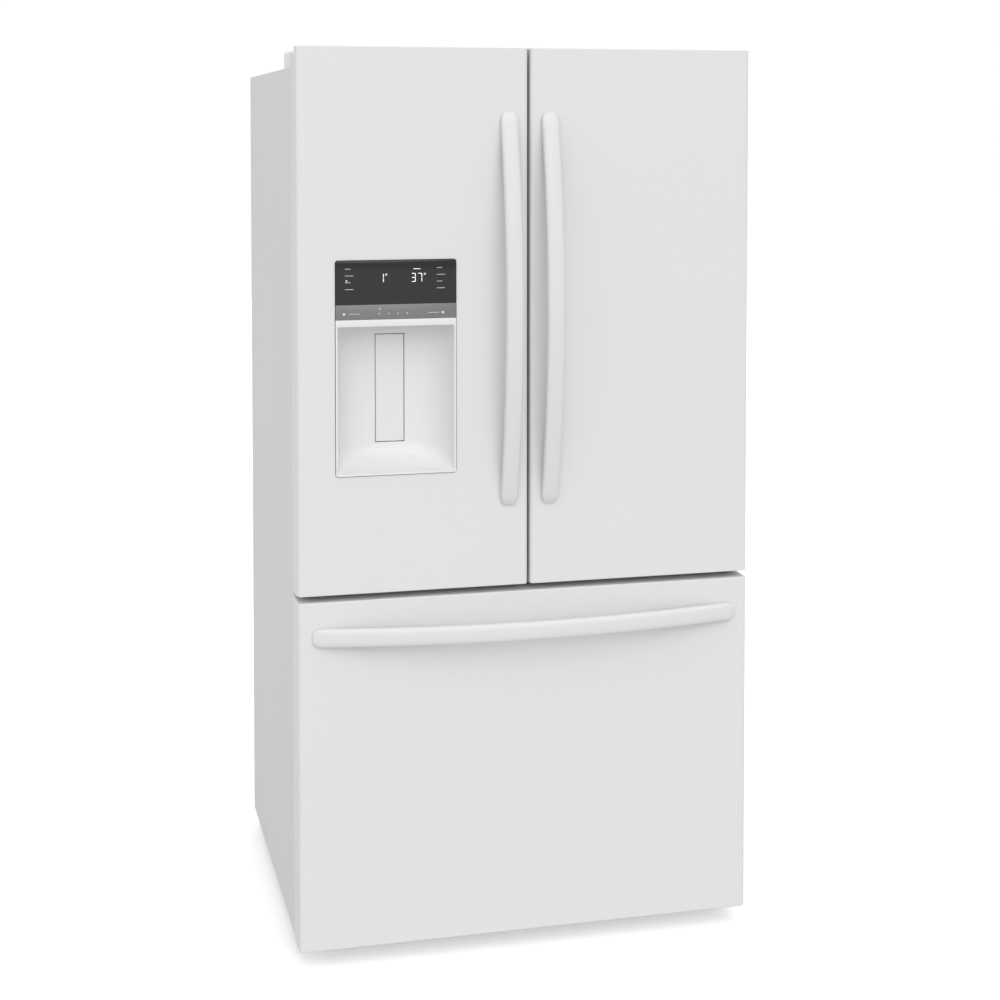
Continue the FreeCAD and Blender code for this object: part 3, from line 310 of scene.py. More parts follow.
def solids_of(node):
    """Boxes of the separate solids of a CAD node, from left to right and bottom to top."""
    mesh = edit_mesh(NODES[node].data)
    boxes = []
    left = set(mesh.verts)
    while left:
        island = {left.pop()}
        edge = list(island)
        while edge:
            near = {e.other_vert(v) for v in edge for e in v.link_edges} - island
            island |= near
            edge = list(near)
        left -= island
        boxes.append([Vector([end(v.co[i] for v in island) for i in range(3)]) for end in (min, max)])
    mesh.free()
    return sorted(boxes, key=lambda b: (round(b[0].x, 3), round(b[0].z, 3)))


def settle(obj, material, body, slot=None, stands_for=(), smooth=35.0):
    """Give a finished mesh object its finish, shading and body, and hide the CAD nodes it stands for; the
    slot argument is not used.
    """
    mesh = edit_mesh(obj.data)
    mesh.to_mesh(obj.data)
    mesh.free()
    obj.data.materials.clear()
    obj.data.materials.append(FINISH[material])
    obj.data.shade_smooth()
    obj.data.set_sharp_from_angle(angle=math.radians(smooth))
    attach(obj, body)
    if slot or material in SLOT_OF.values():
        slot or material
    if stands_for:
        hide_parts(*stands_for)
    return obj


def poured(name, mesh):
    """Object from an edit mesh as it is."""
    data = bpy.data.meshes.new(name)
    mesh.to_mesh(data)
    mesh.free()
    return placed(name, data)


def object_from(name, mesh):
    """Object from an edit mesh, its faces turned outwards."""
    bmesh.ops.remove_doubles(mesh, verts=mesh.verts, dist=SAME)
    bmesh.ops.recalc_face_normals(mesh, faces=mesh.faces)
    return poured(name, mesh)


def joined(name, parts):
    """One object from several, which are removed."""
    mesh = bmesh.new()
    for part in parts:
        mesh.from_mesh(part.data)
        bpy.data.objects.remove(part)
    return poured(name, mesh)


print("left_bins holds", len(solids_of("left_bins")), "bins")

# %% [markdown]
# ### Soft edges
# Nothing moulded or folded has a knife edge. Where the CAD shape is right, a copy
# of it gets a small bevel on the edges that are sharp, or only on the edges of
# its outer box, which is enough for a thin-walled shell. A box with rounded edges
# serves small mouldings.

# %% Bevelled copies and soft boxes
def lies_at(part, axis, level, near=SAME):
    """Whether every point of an edge or face is at one level along an axis."""
    return all(abs(v.co[axis] - level) < near for v in part.verts)


def sharp_edges(mesh, degrees):
    """Edges between two faces that meet at more than an angle."""
    return [e for e in mesh.edges if len(e.link_faces) == 2 and e.calc_face_angle(0) > math.radians(degrees)]


def bevel(mesh, edges, width, segments, clamp=True):
    """Round edges of an edit mesh."""
    bmesh.ops.bevel(mesh, geom=edges, offset=width, segments=segments, profile=0.5, affect="EDGES",
                    clamp_overlap=clamp)


def soft_copy(node, width, only_hull=False, segments=3):
    """Copy of a CAD node with its sharp edges bevelled."""
    mesh = edit_mesh(NODES[node].data)
    bmesh.ops.dissolve_limit(mesh, angle_limit=math.radians(0.6), verts=mesh.verts, edges=mesh.edges)
    box = span(node)

    def on_hull(edge):
        return sum(lies_at(edge, axis, level, 1e-5) for axis in range(3) for level in box[axis]) >= 2

    sharp = [e for e in sharp_edges(mesh, 35) if not only_hull or on_hull(e)]
    bevel(mesh, sharp, width, segments)
    return object_from(node + "_soft", mesh)


def soft_box(name, x, y, z, radius, segments=4):
    """Box with all its edges rounded."""
    mesh = bmesh.new()
    bmesh.ops.create_cube(mesh, size=1.0)
    for v in mesh.verts:
        v.co = [s[0] + (s[1] - s[0]) * (c + 0.5) for s, c in zip((x, y, z), v.co)]
    bevel(mesh, mesh.edges[:], radius, segments)
    return object_from(name, mesh)


def grown(pair, by):
    """A (low, high) pair made larger at both ends."""
    return (pair[0] - by, pair[1] + by)


def middle(pair):
    """Middle of a (low, high) pair."""
    return (pair[0] + pair[1]) / 2


# %% [markdown]
# ### Lofts and turned shapes
# A loft joins rings of equal point counts, which suits handles, bins and seals. A
# turned shape is a profile spun about an axis, as on a lathe, which suits
# rollers, feet, fittings and the filter.

# %% Lofts and lathe
def loft(name, rings, capped=True, closed=False):
    """Skin over rings of points; closed joins the last ring to the first."""
    mesh = bmesh.new()
    made = [[mesh.verts.new(p) for p in ring] for ring in rings]
    pairs = list(zip(made, made[1:])) + ([(made[-1], made[0])] if closed else [])
    for a, b in pairs:
        for i in range(len(a)):
            j = (i + 1) % len(a)
            mesh.faces.new((a[i], a[j], b[j], b[i]))
    if capped and not closed:
        mesh.faces.new(made[0])
        mesh.faces.new(made[-1])
    return object_from(name, mesh)


def turned(name, profile, base, axis, steps=40):
    """Profile of (radius, height) points in millimetres, spun about an axis through base."""
    up = Vector(axis).normalized()
    across = up.orthogonal().normalized()
    third = up.cross(across)
    rings = []
    for radius, height in profile:
        ring = []
        for i in range(steps):
            angle = math.tau * i / steps
            out = across * math.cos(angle) + third * math.sin(angle)
            ring.append(Vector(base) + up * (height * MM) + out * (radius * MM))
        rings.append(ring)
    return loft(name, rings)


# %% [markdown]
# ### Geometry Nodes for what repeats
# Fins, ribs, slats and louvres are one bar set many times along a line, and
# screws are one head set on many points. Each tree takes its sizes as named
# inputs, realizes its instances and sets its material; the result is then baked
# to a plain mesh.

# %% Node trees
def new_tree(name, sockets):
    """Empty geometry tree with named inputs: returns the tree, its ends and the sockets' identifiers."""
    tree = bpy.data.node_groups.new(name, "GeometryNodeTree")
    tree.interface.new_socket("Geometry", in_out="OUTPUT", socket_type="NodeSocketGeometry")
    tree.interface.new_socket("Geometry", in_out="INPUT", socket_type="NodeSocketGeometry")
    ids = {}
    for label, kind in sockets.items():
        socket = tree.interface.new_socket(label, in_out="INPUT", socket_type="NodeSocket" + kind)
        ids[label] = socket.identifier
    start = add(tree, "NodeGroupInput")
    end = add(tree, "NodeGroupOutput")
    return tree, start, end, ids


def close_tree(tree, start, end, last, out):
    """Realize the instances, set the material and end the tree."""
    real = add(tree, "GeometryNodeRealizeInstances")
    paint = add(tree, "GeometryNodeSetMaterial")
    wire(tree, (last, out, real, "Geometry"), (real, "Geometry", paint, "Geometry"),
         (start, "Material", paint, "Material"), (paint, "Geometry", end, "Geometry"))


def bar_row():
    """Tree that repeats one bar along a line."""
    tree, start, end, ids = new_tree("bar row", {
        "Count": "Int", "First": "Vector", "Step": "Vector", "Bar size": "Vector", "Tilt": "Vector",
        "Material": "Material"})
    line = add(tree, "GeometryNodeMeshLine")
    line.mode = "OFFSET"
    bar = add(tree, "GeometryNodeMeshCube")
    place = add(tree, "GeometryNodeInstanceOnPoints")
    wire(tree, (start, "Count", line, "Count"), (start, "First", line, "Start Location"),
         (start, "Step", line, "Offset"), (start, "Bar size", bar, "Size"), (line, "Mesh", place, "Points"),
         (bar, "Mesh", place, "Instance"), (start, "Tilt", place, "Rotation"))
    close_tree(tree, start, end, place, "Instances")
    return tree, ids


def screw_heads():
    """Tree that sets a domed head with a cross slot on each point of a mesh."""
    tree, start, end, ids = new_tree("screw heads", {
        "Radius": "Float", "Height": "Float", "Turn": "Vector", "Material": "Material"})
    dome = add(tree, "GeometryNodeMeshUVSphere", Segments=20, Rings=10, Radius=1.0)
    cross = add(tree, "GeometryNodeJoinGeometry")
    for size in ((1.1, 0.26, 0.8), (0.26, 1.1, 0.8)):
        slot = add(tree, "GeometryNodeMeshCube", Size=size)
        lift = add(tree, "GeometryNodeTransform", Translation=(0, 0, 0.95))
        wire(tree, (slot, "Mesh", lift, "Geometry"), (lift, "Geometry", cross, "Geometry"))
    cutter = add(tree, "GeometryNodeMeshBoolean")
    cutter.operation = "DIFFERENCE"
    cutter.solver = "EXACT"
    cutter.inputs[2].default_value = True  # Self Intersection, because the two slots cross
    scale = add(tree, "ShaderNodeCombineXYZ")
    place = add(tree, "GeometryNodeInstanceOnPoints")
    wire(tree, (dome, "Mesh", cutter, "Mesh 1"), (cross, "Geometry", cutter, "Mesh 2"),
         (start, "Radius", scale, "X"), (start, "Radius", scale, "Y"), (start, "Height", scale, "Z"),
         (start, "Geometry", place, "Points"), (cutter, "Mesh", place, "Instance"),
         (start, "Turn", place, "Rotation"), (scale, "Vector", place, "Scale"))
    close_tree(tree, start, end, place, "Instances")
    return tree, ids


def thread_tree():
    """Tree that winds a round wire into a helix, as the crest of a screw thread."""
    tree, start, end, ids = new_tree("thread", {
        "Turns": "Float", "Radius": "Float", "Length": "Float", "Wire": "Float", "Base": "Vector",
        "Turn": "Vector", "Material": "Material"})
    helix = add(tree, "GeometryNodeCurveSpiral", Resolution=20)
    ring = add(tree, "GeometryNodeCurvePrimitiveCircle", Resolution=6)
    sweep = add(tree, "GeometryNodeCurveToMesh", Fill_Caps=True)
    move = add(tree, "GeometryNodeTransform")
    wire(tree, (start, "Turns", helix, "Rotations"), (start, "Radius", helix, "Start Radius"),
         (start, "Radius", helix, "End Radius"), (start, "Length", helix, "Height"),
         (start, "Wire", ring, "Radius"), (helix, "Curve", sweep, "Curve"),
         (ring, "Curve", sweep, "Profile Curve"), (sweep, "Mesh", move, "Geometry"),
         (start, "Base", move, "Translation"), (start, "Turn", move, "Rotation"))
    close_tree(tree, start, end, move, "Geometry")
    return tree, ids


def baked(obj):
    """Plain mesh of an object with its modifiers or its curve's thickness applied."""
    return bpy.data.meshes.new_from_object(obj.evaluated_get(bpy.context.evaluated_depsgraph_get()))


def grow_nodes(name, kind, material, points=(), **values):
    """Run a tree on a mesh of points and bake the result to a plain mesh object."""
    tree, ids = kind
    seed = bpy.data.meshes.new(name + "_seed")
    seed.from_pydata([tuple(p) for p in points], [], [])
    holder = placed(name + "_seed", seed)
    modifier = holder.modifiers.new("nodes", "NODES")
    modifier.node_group = tree
    for label, value in values.items():
        modifier[ids[label.replace("_", " ")]] = value
    modifier[ids["Material"]] = FINISH[material]
    data = baked(holder)
    bpy.data.objects.remove(holder)
    return placed(name, data)


BARS = bar_row()
SCREWS = screw_heads()
THREAD = thread_tree()
print("trees:", [t.name for t in bpy.data.node_groups])

# %% [markdown]
# ## The cabinet's skin
# One sheet of painted steel is folded over the top and down both sides, with a
# small radius at each fold. The CAD wrapper has the right shape with knife edges,
# so a copy of it is bevelled along its outer edges.

# %% Cabinet wrapper and covers
wrapper = soft_copy("cabinet_shell", 2.6 * MM, only_hull=True, segments=4)
# the cabinet's pebbled finish carries painted shade: its tone is darker than the doors' so the side reads
# shaded
settle(wrapper, "pebbled_enamel", "cabinet", slot="white_enamel", stands_for=["cabinet_shell"])
hinge_caps = []
for solid in range(2):
    x, y, z = span("hinge_covers", solid)
    cap = soft_box("hinge_cap", x, y, z, 5.5 * MM, 5)
    tuck = soft_box("hinge_cap_foot", grown(x, -0.4 * MM), grown(y, -0.4 * MM), (z[0], z[0] + 8 * MM),
                    0.8 * MM)
    hinge_caps += [cap, tuck]
settle(joined("hinge_caps", hinge_caps), "white_moulding", "cabinet", stands_for=["hinge_covers"])
print("wrapper has", len(wrapper.data.polygons), "faces")

# %% [markdown]
# ## Handles
# Each handle is a bow: it lies on the door at both ends and stands a hand's
# depth away in the middle. Its section is a soft oval block that flattens and
# rounds off towards the ends. It is a loft of that section along two arcs, one
# for the outside and one for the side next to the door.

# %% Bowed handles
FOOT, THICK, END_HIGH, SUNK = 46 * MM, 19 * MM, 9 * MM, 1 * MM
HANDLE_STATIONS, HANDLE_AROUND = 96, 36
BLUNT_ACROSS, BLUNT_UP = 0.62, 0.72  # powers below 1 make the oval blunter


def arc(along, start, end, low, high):
    """Height of a circular arc over a chord from start to end."""
    half = (end - start) / 2
    rise = high - low
    radius = (half * half + rise * rise) / (2 * rise)
    off = along - (start + end) / 2
    return low + math.sqrt(max(radius * radius - off * off, 0.0)) - (radius - rise)


def bowed_handle(node, axis, body):
    """Handle along an axis (0 is X, 2 is Z) inside its CAD node's box."""
    box = span(node)
    start, end = box[axis]
    side = 2 - axis
    face = box[1][1]
    reach = face - box[1][0]
    half = (box[side][1] - box[side][0]) / 2
    nose = 1.24 * half
    rings = []
    for step in range(HANDLE_STATIONS + 1):
        at = start + (end - start) * (0.5 - 0.5 * math.cos(math.pi * step / HANDLE_STATIONS))
        edge = min(at - start, end - at)
        swell = math.sqrt(max(1 - (1 - min(edge / nose, 1.0)) ** 2, 0.0))
        outer = arc(at, start, end, END_HIGH, reach) * (0.25 + 0.75 * swell if edge < nose else 1.0)
        inner = -SUNK
        if start + FOOT <= at <= end - FOOT:
            inner = max(arc(at, start + FOOT, end - FOOT, 0.0, reach - THICK), -SUNK)
        wide = half * (0.30 + 0.70 * swell)
        centre, tall = (outer + inner) / 2, (outer - inner) / 2
        ring = []
        for i in range(HANDLE_AROUND):
            angle = math.tau * i / HANDLE_AROUND
            c, s = math.cos(angle), math.sin(angle)
            point = [0.0, face - (centre + math.copysign(abs(s) ** BLUNT_UP, s) * tall), 0.0]
            point[axis] = at
            point[side] = middle(box[side]) + math.copysign(abs(c) ** BLUNT_ACROSS, c) * wide
            ring.append(point)
        rings.append(ring)
    bar = loft(node.replace("handle", "bow_handle"), rings)
    return settle(bar, "handle_enamel", body, slot="white_moulding", stands_for=[node], smooth=60)


bowed_handle("left_handle", 2, "left_door")
bowed_handle("right_handle", 2, "right_door")
bar = bowed_handle("drawer_handle", 0, "freezer_drawer")
print("drawer handle reaches y", round(min(v.co.y for v in bar.data.vertices), 4))

# %% [markdown]
# ## The dispenser
# A white surround frames a deep scoop with a flat back, where a paddle sits flush
# in its own slot. The scoop is one smooth sheet: its depth at any point is the
# product of a rounded profile across and another one upwards, so its corners run
# together as in the moulded part. The sheet is a grid with a hole for the paddle.

# %% Scooped surround
FACE = span("left_door_shell")[1][0]
SURROUND = span("dispenser_frame")
DISPLAY = span("display_panel")
STRIP = span("control_strip")
PADDLE = span("paddle")
MOUTH = [grown(SURROUND[0], -3.6 * MM), (SURROUND[2][0] + 3.6 * MM, STRIP[2][0] - 13 * MM)]
SCOOP_BACK = PADDLE[1][0]
SIDE_SWEEP, FLOOR_SWEEP, ROOF_SWEEP = 74 * MM, 46 * MM, 20 * MM
PADDLE_GAP, PADDLE_DEEP = 1.25 * MM, 26.8 * MM
BEND_STEPS, FLAT_STEPS = 12, 8


def sweep_stations(low, high, near, far, hole):
    """Grid lines from one edge to the other, close together where the wall curves."""
    bends = [1 - math.cos(math.pi / 2 * i / BEND_STEPS) for i in range(BEND_STEPS + 1)]
    lines = {low + near * b for b in bends} | {high - far * b for b in bends} | set(hole)
    gap = (high - far) - (low + near)
    lines |= {low + near + gap * i / FLAT_STEPS for i in range(1, FLAT_STEPS)}
    return sorted(lines)


def quarter(distance, sweep):
    """Depth share at a distance from an edge whose wall sweeps in over a length."""
    t = min(max(distance / sweep, 0.0), 1.0)
    return math.sqrt(max(1 - (1 - t) ** 2, 0.0))


def scoop_depth(x, z):
    """Y of the scoop's surface."""
    across = min(quarter(x - MOUTH[0][0], SIDE_SWEEP), quarter(MOUTH[0][1] - x, SIDE_SWEEP))
    upright = min(quarter(z - MOUTH[1][0], FLOOR_SWEEP), quarter(MOUTH[1][1] - z, ROOF_SWEEP))
    front = SURROUND[1][0]
    return front + (SCOOP_BACK - front) * across * upright


def skirt_points(mesh, edges):
    """Points of a new strip of faces that grows from a sheet's edges."""
    skirt = bmesh.ops.extrude_edge_only(mesh, edges=edges)
    return {v for v in skirt["geom"] if isinstance(v, bmesh.types.BMVert)}


def scoop_sheet():
    """Surround and scoop as one open sheet."""
    front = SURROUND[1][0]
    slot_x = grown(PADDLE[0], PADDLE_GAP)
    slot_z = grown(PADDLE[2], PADDLE_GAP)
    xs = [SURROUND[0][0]] + sweep_stations(*MOUTH[0], SIDE_SWEEP, SIDE_SWEEP, slot_x) + [SURROUND[0][1]]
    zs = [SURROUND[2][0]] + sweep_stations(*MOUTH[1], FLOOR_SWEEP, ROOF_SWEEP, slot_z) + [STRIP[2][0]]
    mesh = bmesh.new()
    grid = {}
    for i, x in enumerate(xs):
        for j, z in enumerate(zs):
            rim = i in (0, len(xs) - 1) or j in (0, len(zs) - 1)
            grid[i, j] = mesh.verts.new((x, front if rim else scoop_depth(x, z), z))
    for i in range(len(xs) - 1):
        for j in range(len(zs) - 1):
            inside_x = slot_x[0] - SAME < xs[i] and xs[i + 1] < slot_x[1] + SAME
            inside_z = slot_z[0] - SAME < zs[j] and zs[j + 1] < slot_z[1] + SAME
            if not (inside_x and inside_z):
                mesh.faces.new((grid[i, j], grid[i + 1, j], grid[i + 1, j + 1], grid[i, j + 1]))
    edges = [e for e in mesh.edges if e.is_boundary]
    rim = [e for e in edges if lies_at(e, 1, front)]
    slot = [e for e in edges if e not in rim]
    for group, depth in ((rim, FACE - front + 1 * MM), (slot, PADDLE_DEEP)):
        for v in skirt_points(mesh, group):
            v.co.y += depth
    corners = [e for e in mesh.edges if len(e.link_faces) == 2 and e.verts[0].co.y != e.verts[1].co.y
               and any(lies_at(e, 0, side) for side in SURROUND[0]) and lies_at(e, 2, SURROUND[2][0])]
    bevel(mesh, corners, 3.4 * MM, 5, clamp=False)
    bevel(mesh, [e for e in sharp_edges(mesh, 50) if lies_at(e, 1, front)], 0.8 * MM, 3)
    return object_from("dispenser_surround", mesh)


def thickened(obj, wall, facing):
    """Sheet turned to face a direction and given a wall behind that face."""
    normals = sum((p.normal * p.area for p in obj.data.polygons), Vector())
    if normals.dot(Vector(facing)) < 0:
        obj.data.flip_normals()
    solid = obj.modifiers.new("wall", "SOLIDIFY")
    solid.thickness = wall
    solid.offset = -1.0
    data = baked(obj)
    obj.modifiers.clear()
    obj.data = data
    return obj


surround = thickened(scoop_sheet(), 1.8 * MM, (0, -1, 0))
settle(surround, "white_moulding", "left_door", stands_for=["dispenser_frame", "dispenser_cavity"], smooth=50)
print("surround has", len(surround.data.polygons), "faces")

# %% [markdown]
# ### Slot back, seam, tray and paddle
# Behind the paddle the slot ends in a grey plate. A fine dark strip runs round the
# surround where it meets the door's steel: painted shadow of the narrow gap there.
# The drip tray is a thin insert that follows the scoop's floor, and the paddle is a
# plain soft-edged plate.

# %% Small parts of the dispenser
slot_back = soft_box("paddle_slot_back", grown(PADDLE[0], 3 * MM),
                     (SCOOP_BACK + 26.5 * MM, SCOOP_BACK + 28.5 * MM), grown(PADDLE[2], 3 * MM), 0.5 * MM, 2)
settle(slot_back, "grey_moulding", "left_door")
plate = soft_box("paddle_plate", *PADDLE, 1.4 * MM, 4)
settle(plate, "white_moulding", "paddle", stands_for=["paddle"])


def corners_of(x, z, radius, steps):
    """The four rounded corners of a rectangle, each as a list of points."""
    centres = ((x[1] - radius, z[1] - radius), (x[0] + radius, z[1] - radius),
               (x[0] + radius, z[0] + radius), (x[1] - radius, z[0] + radius))
    corners = []
    for quarter_turns, (cx, cz) in enumerate(centres):
        angles = [math.radians(90 * quarter_turns + 90 * i / steps) for i in range(steps + 1)]
        corners.append([(cx + radius * math.cos(a), cz + radius * math.sin(a)) for a in angles])
    return corners


def rounded_outline(x, z, radius, y, steps=6):
    """Ring of points round an upright rectangle with rounded corners."""
    return [(px, y, pz) for corner in corners_of(x, z, radius, steps) for px, pz in corner]


whole_z = (SURROUND[2][0], DISPLAY[2][1])
seam_rings = []
# dark strip round the surround: painted shadow of the narrow gap between the surround and the door's steel
SEAM_OUT, SEAM_IN, SEAM_FRONT, SEAM_BACK = -1.1 * MM, 0.6 * MM, FACE - 0.35 * MM, FACE + 0.5 * MM
for inset, y in ((SEAM_OUT, SEAM_BACK), (SEAM_OUT, SEAM_FRONT), (SEAM_IN, SEAM_FRONT), (SEAM_IN, SEAM_BACK)):
    seam_rings.append(rounded_outline(grown(SURROUND[0], -inset), grown(whole_z, -inset),
                                      4.6 * MM - inset, y))
seam = loft("surround_seam_shadow", seam_rings, closed=True)
settle(seam, "seam_shadow", "left_door", slot="black_moulding")


def floor_patch(x, lift, shares, columns=12):
    """Grid that follows the scoop's floor between two depths."""
    mesh = bmesh.new()
    rows = []
    for share in shares:
        z = MOUTH[1][0] + FLOOR_SWEEP * (1 - math.sqrt(max(1 - share ** 2, 0.0)))
        across = [x[0] + (x[1] - x[0]) * i / columns for i in range(columns + 1)]
        rows.append([mesh.verts.new((px, scoop_depth(px, z) - 0.2 * lift, z + lift)) for px in across])
    for a, b in zip(rows, rows[1:]):
        for i in range(columns):
            mesh.faces.new((a[i], a[i + 1], b[i + 1], b[i]))
    return object_from("drip_insert", mesh)


tray = floor_patch(grown(PADDLE[0], 16 * MM), 0.6 * MM, [0.16 + 0.70 * i / 10 for i in range(11)])
tray = thickened(tray, 0.5 * MM, (0, -0.5, 1))
settle(tray, "white_moulding", "left_door", stands_for=["drip_tray"], smooth=50)
print("tray z", round(min(v.co.z for v in tray.data.vertices), 4))

# %% [markdown]
# ### Display and touch strip
# The smoked pane shows two temperatures in seven-segment digits, one for the
# freezer and one for the fresh-food room, each with a degree ring. Below it the
# grey strip carries small round touch marks. Words are left out.

# %% Digits and marks
settle(soft_copy("display_panel", 0.5 * MM), "display_glass", "left_door", stands_for=["display_panel"])
settle(soft_box("touch_strip", *STRIP, 0.35 * MM, 2), "grey_strip", "left_door", stands_for=["control_strip"])
SEGMENTS = {"1": "bc", "3": "abgcd", "7": "abc"}
GLOW_Y = (DISPLAY[1][0] - 0.12 * MM, DISPLAY[1][0] + 0.2 * MM)
PRINT_Y = (STRIP[1][0] - 0.10 * MM, STRIP[1][0] + 0.2 * MM)


def digit(text, x, z, tall):
    """Seven-segment digit as thin bars, its lower left corner at x, z."""
    wide, bar = tall * 0.52, tall * 0.085
    half = tall / 2
    places = {
        "a": ((x + bar, x + wide - bar), (z + tall - bar, z + tall)),
        "b": ((x + wide - bar, x + wide), (z + half + bar * 0.4, z + tall - bar * 0.4)),
        "c": ((x + wide - bar, x + wide), (z + bar * 0.4, z + half - bar * 0.4)),
        "d": ((x + bar, x + wide - bar), (z, z + bar)),
        "g": ((x + bar, x + wide - bar), (z + half - bar / 2, z + half + bar / 2)),
    }
    return [soft_box("segment", places[s][0], GLOW_Y, places[s][1], bar * 0.3, 1) for s in SEGMENTS[text]]


def disc(x, z, radius, y):
    """Small round mark, its radius in millimetres."""
    return turned("mark", [(radius, 0), (radius, (y[1] - y[0]) / MM)], (x, y[0], z), (0, 1, 0), 16)


def dash(x, z, long, high, y):
    """Small flat bar, its length and height in millimetres."""
    return soft_box("dash", (x, x + long * MM), y, (z, z + high * MM), 0.2 * MM, 1)


def degree(x, z, radius):
    """Small raised ring."""
    rings = [rounded_outline((x - r, x + r), (z - r, z + r), r * 0.999, y, 5)
             for r, y in ((radius, GLOW_Y[1]), (radius, GLOW_Y[0]), (radius * 0.6, GLOW_Y[0]),
                          (radius * 0.6, GLOW_Y[1]))]
    return loft("degree", rings, closed=True)


def across(mm):
    """Place at some millimetres from the display's left edge."""
    return DISPLAY[0][0] + mm * MM


def below(mm):
    """Place at some millimetres below the display's top edge."""
    return DISPLAY[2][1] - mm * MM


lit = []
for text, mm in (("1", 84), ("3", 146), ("7", 158.5)):
    lit += digit(text, across(mm), below(42), 17 * MM)
lit += [degree(across(mm), below(27), 1.9 * MM) for mm in (97.5, 172.5)]
lit += [dash(across(150), below(17.6), 14, 1.2, GLOW_Y), disc(across(21), below(38), 1.3, GLOW_Y)]
settle(joined("display_digits", lit), "lit_white", "left_door", slot="display_glass")
marks = []
for row in range(4):
    for mm in (18, 196):
        marks.append(dash(across(mm), below(16 + 13 * row), 16 if row % 2 else 11, 1.1, GLOW_Y))
settle(joined("display_marks", marks), "print_white", "left_door", slot="display_glass")
strip_mid = middle(STRIP[2])
print_z = strip_mid - 3 * MM
touch = [disc(across(85), strip_mid + 6 * MM, 1.5, PRINT_Y)]
touch += [disc(across(mm), print_z, radius, PRINT_Y)
          for mm, radius in ((16, 2.6), (84, 1.3), (102, 1.3), (120, 1.3), (138, 1.3), (208, 2.6))]
touch += [dash(across(mm), print_z - 0.55 * MM, 20, 1.1, PRINT_Y) for mm in (26, 180)]
settle(joined("touch_marks", touch), "print_white", "left_door", slot="grey_strip")
print(len(lit), "lit pieces,", len(touch), "touch marks")

# %% [markdown]
# ## Door seals
# A magnetic seal is an extruded vinyl strip: a wide foot that hooks into the
# door, a bellows that folds, and a flat pad that holds the magnet. Strips are cut
# at 45 degrees and welded at the corners, so each point of the section becomes
# one rectangle round the door, and the rectangles are skinned together.

# %% Bellows seals
SEAL_SECTION = ((0, 0), (16, 0), (16, 2.2), (12.8, 3.4), (15.4, 5.6), (12.4, 8.0), (15.6, 9.4), (15.6, 12.4),
                (0.4, 12.4), (0.4, 9.4), (3.6, 8.0), (0.6, 5.6), (3.2, 3.4), (0, 2.2))
SEAL_DEEP = 12.6


def seal(node, body):
    """Bellows seal in place of a plain ring."""
    x, y, z = span(node)
    deep = (y[1] - y[0]) / SEAL_DEEP
    rings = []
    for across, out in SEAL_SECTION:
        level = y[0] + out * deep
        inset = across * MM
        rings.append([(x[0] + inset, level, z[0] + inset), (x[1] - inset, level, z[0] + inset),
                      (x[1] - inset, level, z[1] - inset), (x[0] + inset, level, z[1] - inset)])
    return settle(loft(node.replace("gasket", "bellows_seal"), rings, closed=True), "gasket_rubber", body,
                  stands_for=[node], smooth=25)


for node in ("left_gasket", "right_gasket", "drawer_gasket"):
    seal(node, BODY_OF[node])
print("seals done")

# %% [markdown]
# ## Bins, drawers and baskets
# Clear bins are injection moulded: the walls lean out a little so they leave the
# mould, the floor runs into them with a radius, and the rim is rolled. Each one
# is a loft of rounded rectangles, up the outside, over the rim and down the
# inside. Drawers dip at the front for the fingers.

# %% Moulded tubs
TUB_OUTSIDE = ((13.0, 0.0), (8.0, 0.6), (5.0, 2.4), (3.4, 6.0), (1.6, 30.0), (1.0, -13.0), (0.2, -11.5),
               (0.0, -10.0), (0.0, -1.2), (0.5, -0.3), (1.4, 0.0))
TUB_INSIDE = ((2.6, 0.0), (3.4, -0.4), (3.8, -1.5), (3.9, -12.0), (4.6, 30.0), (6.2, 9.0), (8.0, 5.2),
              (12.0, 3.2), (18.0, 3.0))
FRONT_STEPS = 40


def tub_ring(x, y, z, inset, radius, dip):
    """Rounded rectangle of points at one level, lowered along the front by the dip."""
    x, y = grown(x, -inset), grown(y, -inset)
    r = max(radius - inset, 1.5 * MM)
    corners = corners_of(x, y, r, 5)
    front = [(x[0] + r + (x[1] - x[0] - 2 * r) * i / FRONT_STEPS, y[0]) for i in range(1, FRONT_STEPS)]
    corners.insert(3, front)
    ring = [[px, py, z] for part in corners for px, py in part]
    if dip:
        wide, deep = dip
        for p in ring:
            if p[1] < y[0] + 1e-5:
                off = abs(p[0] - middle(x)) / (wide / 2)
                if off < 1:
                    p[2] -= deep * min(1.0, (1 - off) * 3.2) ** 1.5
    return ring


def moulded_tub(name, box, radius, dip=None):
    """Open-topped tub that fills a box."""
    x, y, z = box
    rings = []
    for inset, level in TUB_OUTSIDE + TUB_INSIDE:
        from_top = level < 0 or (level == 0.0 and inset < 5)
        height = z[1] + level * MM if from_top else z[0] + level * MM
        rings.append(tub_ring(x, y, height, inset * MM, radius, dip if from_top else None))
    return loft(name, rings)


TUBS = {"left_bins": (10, None), "right_bins": (10, None), "deli_drawer": (12, (220, 20)),
        "crisper_left": (12, (140, 20)), "crisper_right": (12, (140, 20)), "upper_basket": (14, (260, 22)),
        "lower_basket": (14, None)}
for node, (radius, dip) in TUBS.items():
    tubs = []
    for low, high in solids_of(node):
        box = [(low[i], high[i]) for i in range(3)]
        tubs.append(moulded_tub(node, box, radius * MM, dip and (dip[0] * MM, dip[1] * MM)))
    settle(joined(node + "_moulded", tubs), "clear_bin", BODY_OF[node], stands_for=[node], smooth=40)
print(len(TUBS), "sets of tubs")

# %% [markdown]
# ### Ribs and trims
# A stiff white band runs along the side of each door bin that faces into the
# room, and a row of shallow ribs stiffens each basket's floor. The ribs repeat at
# an even pitch, so the bar tree makes them.

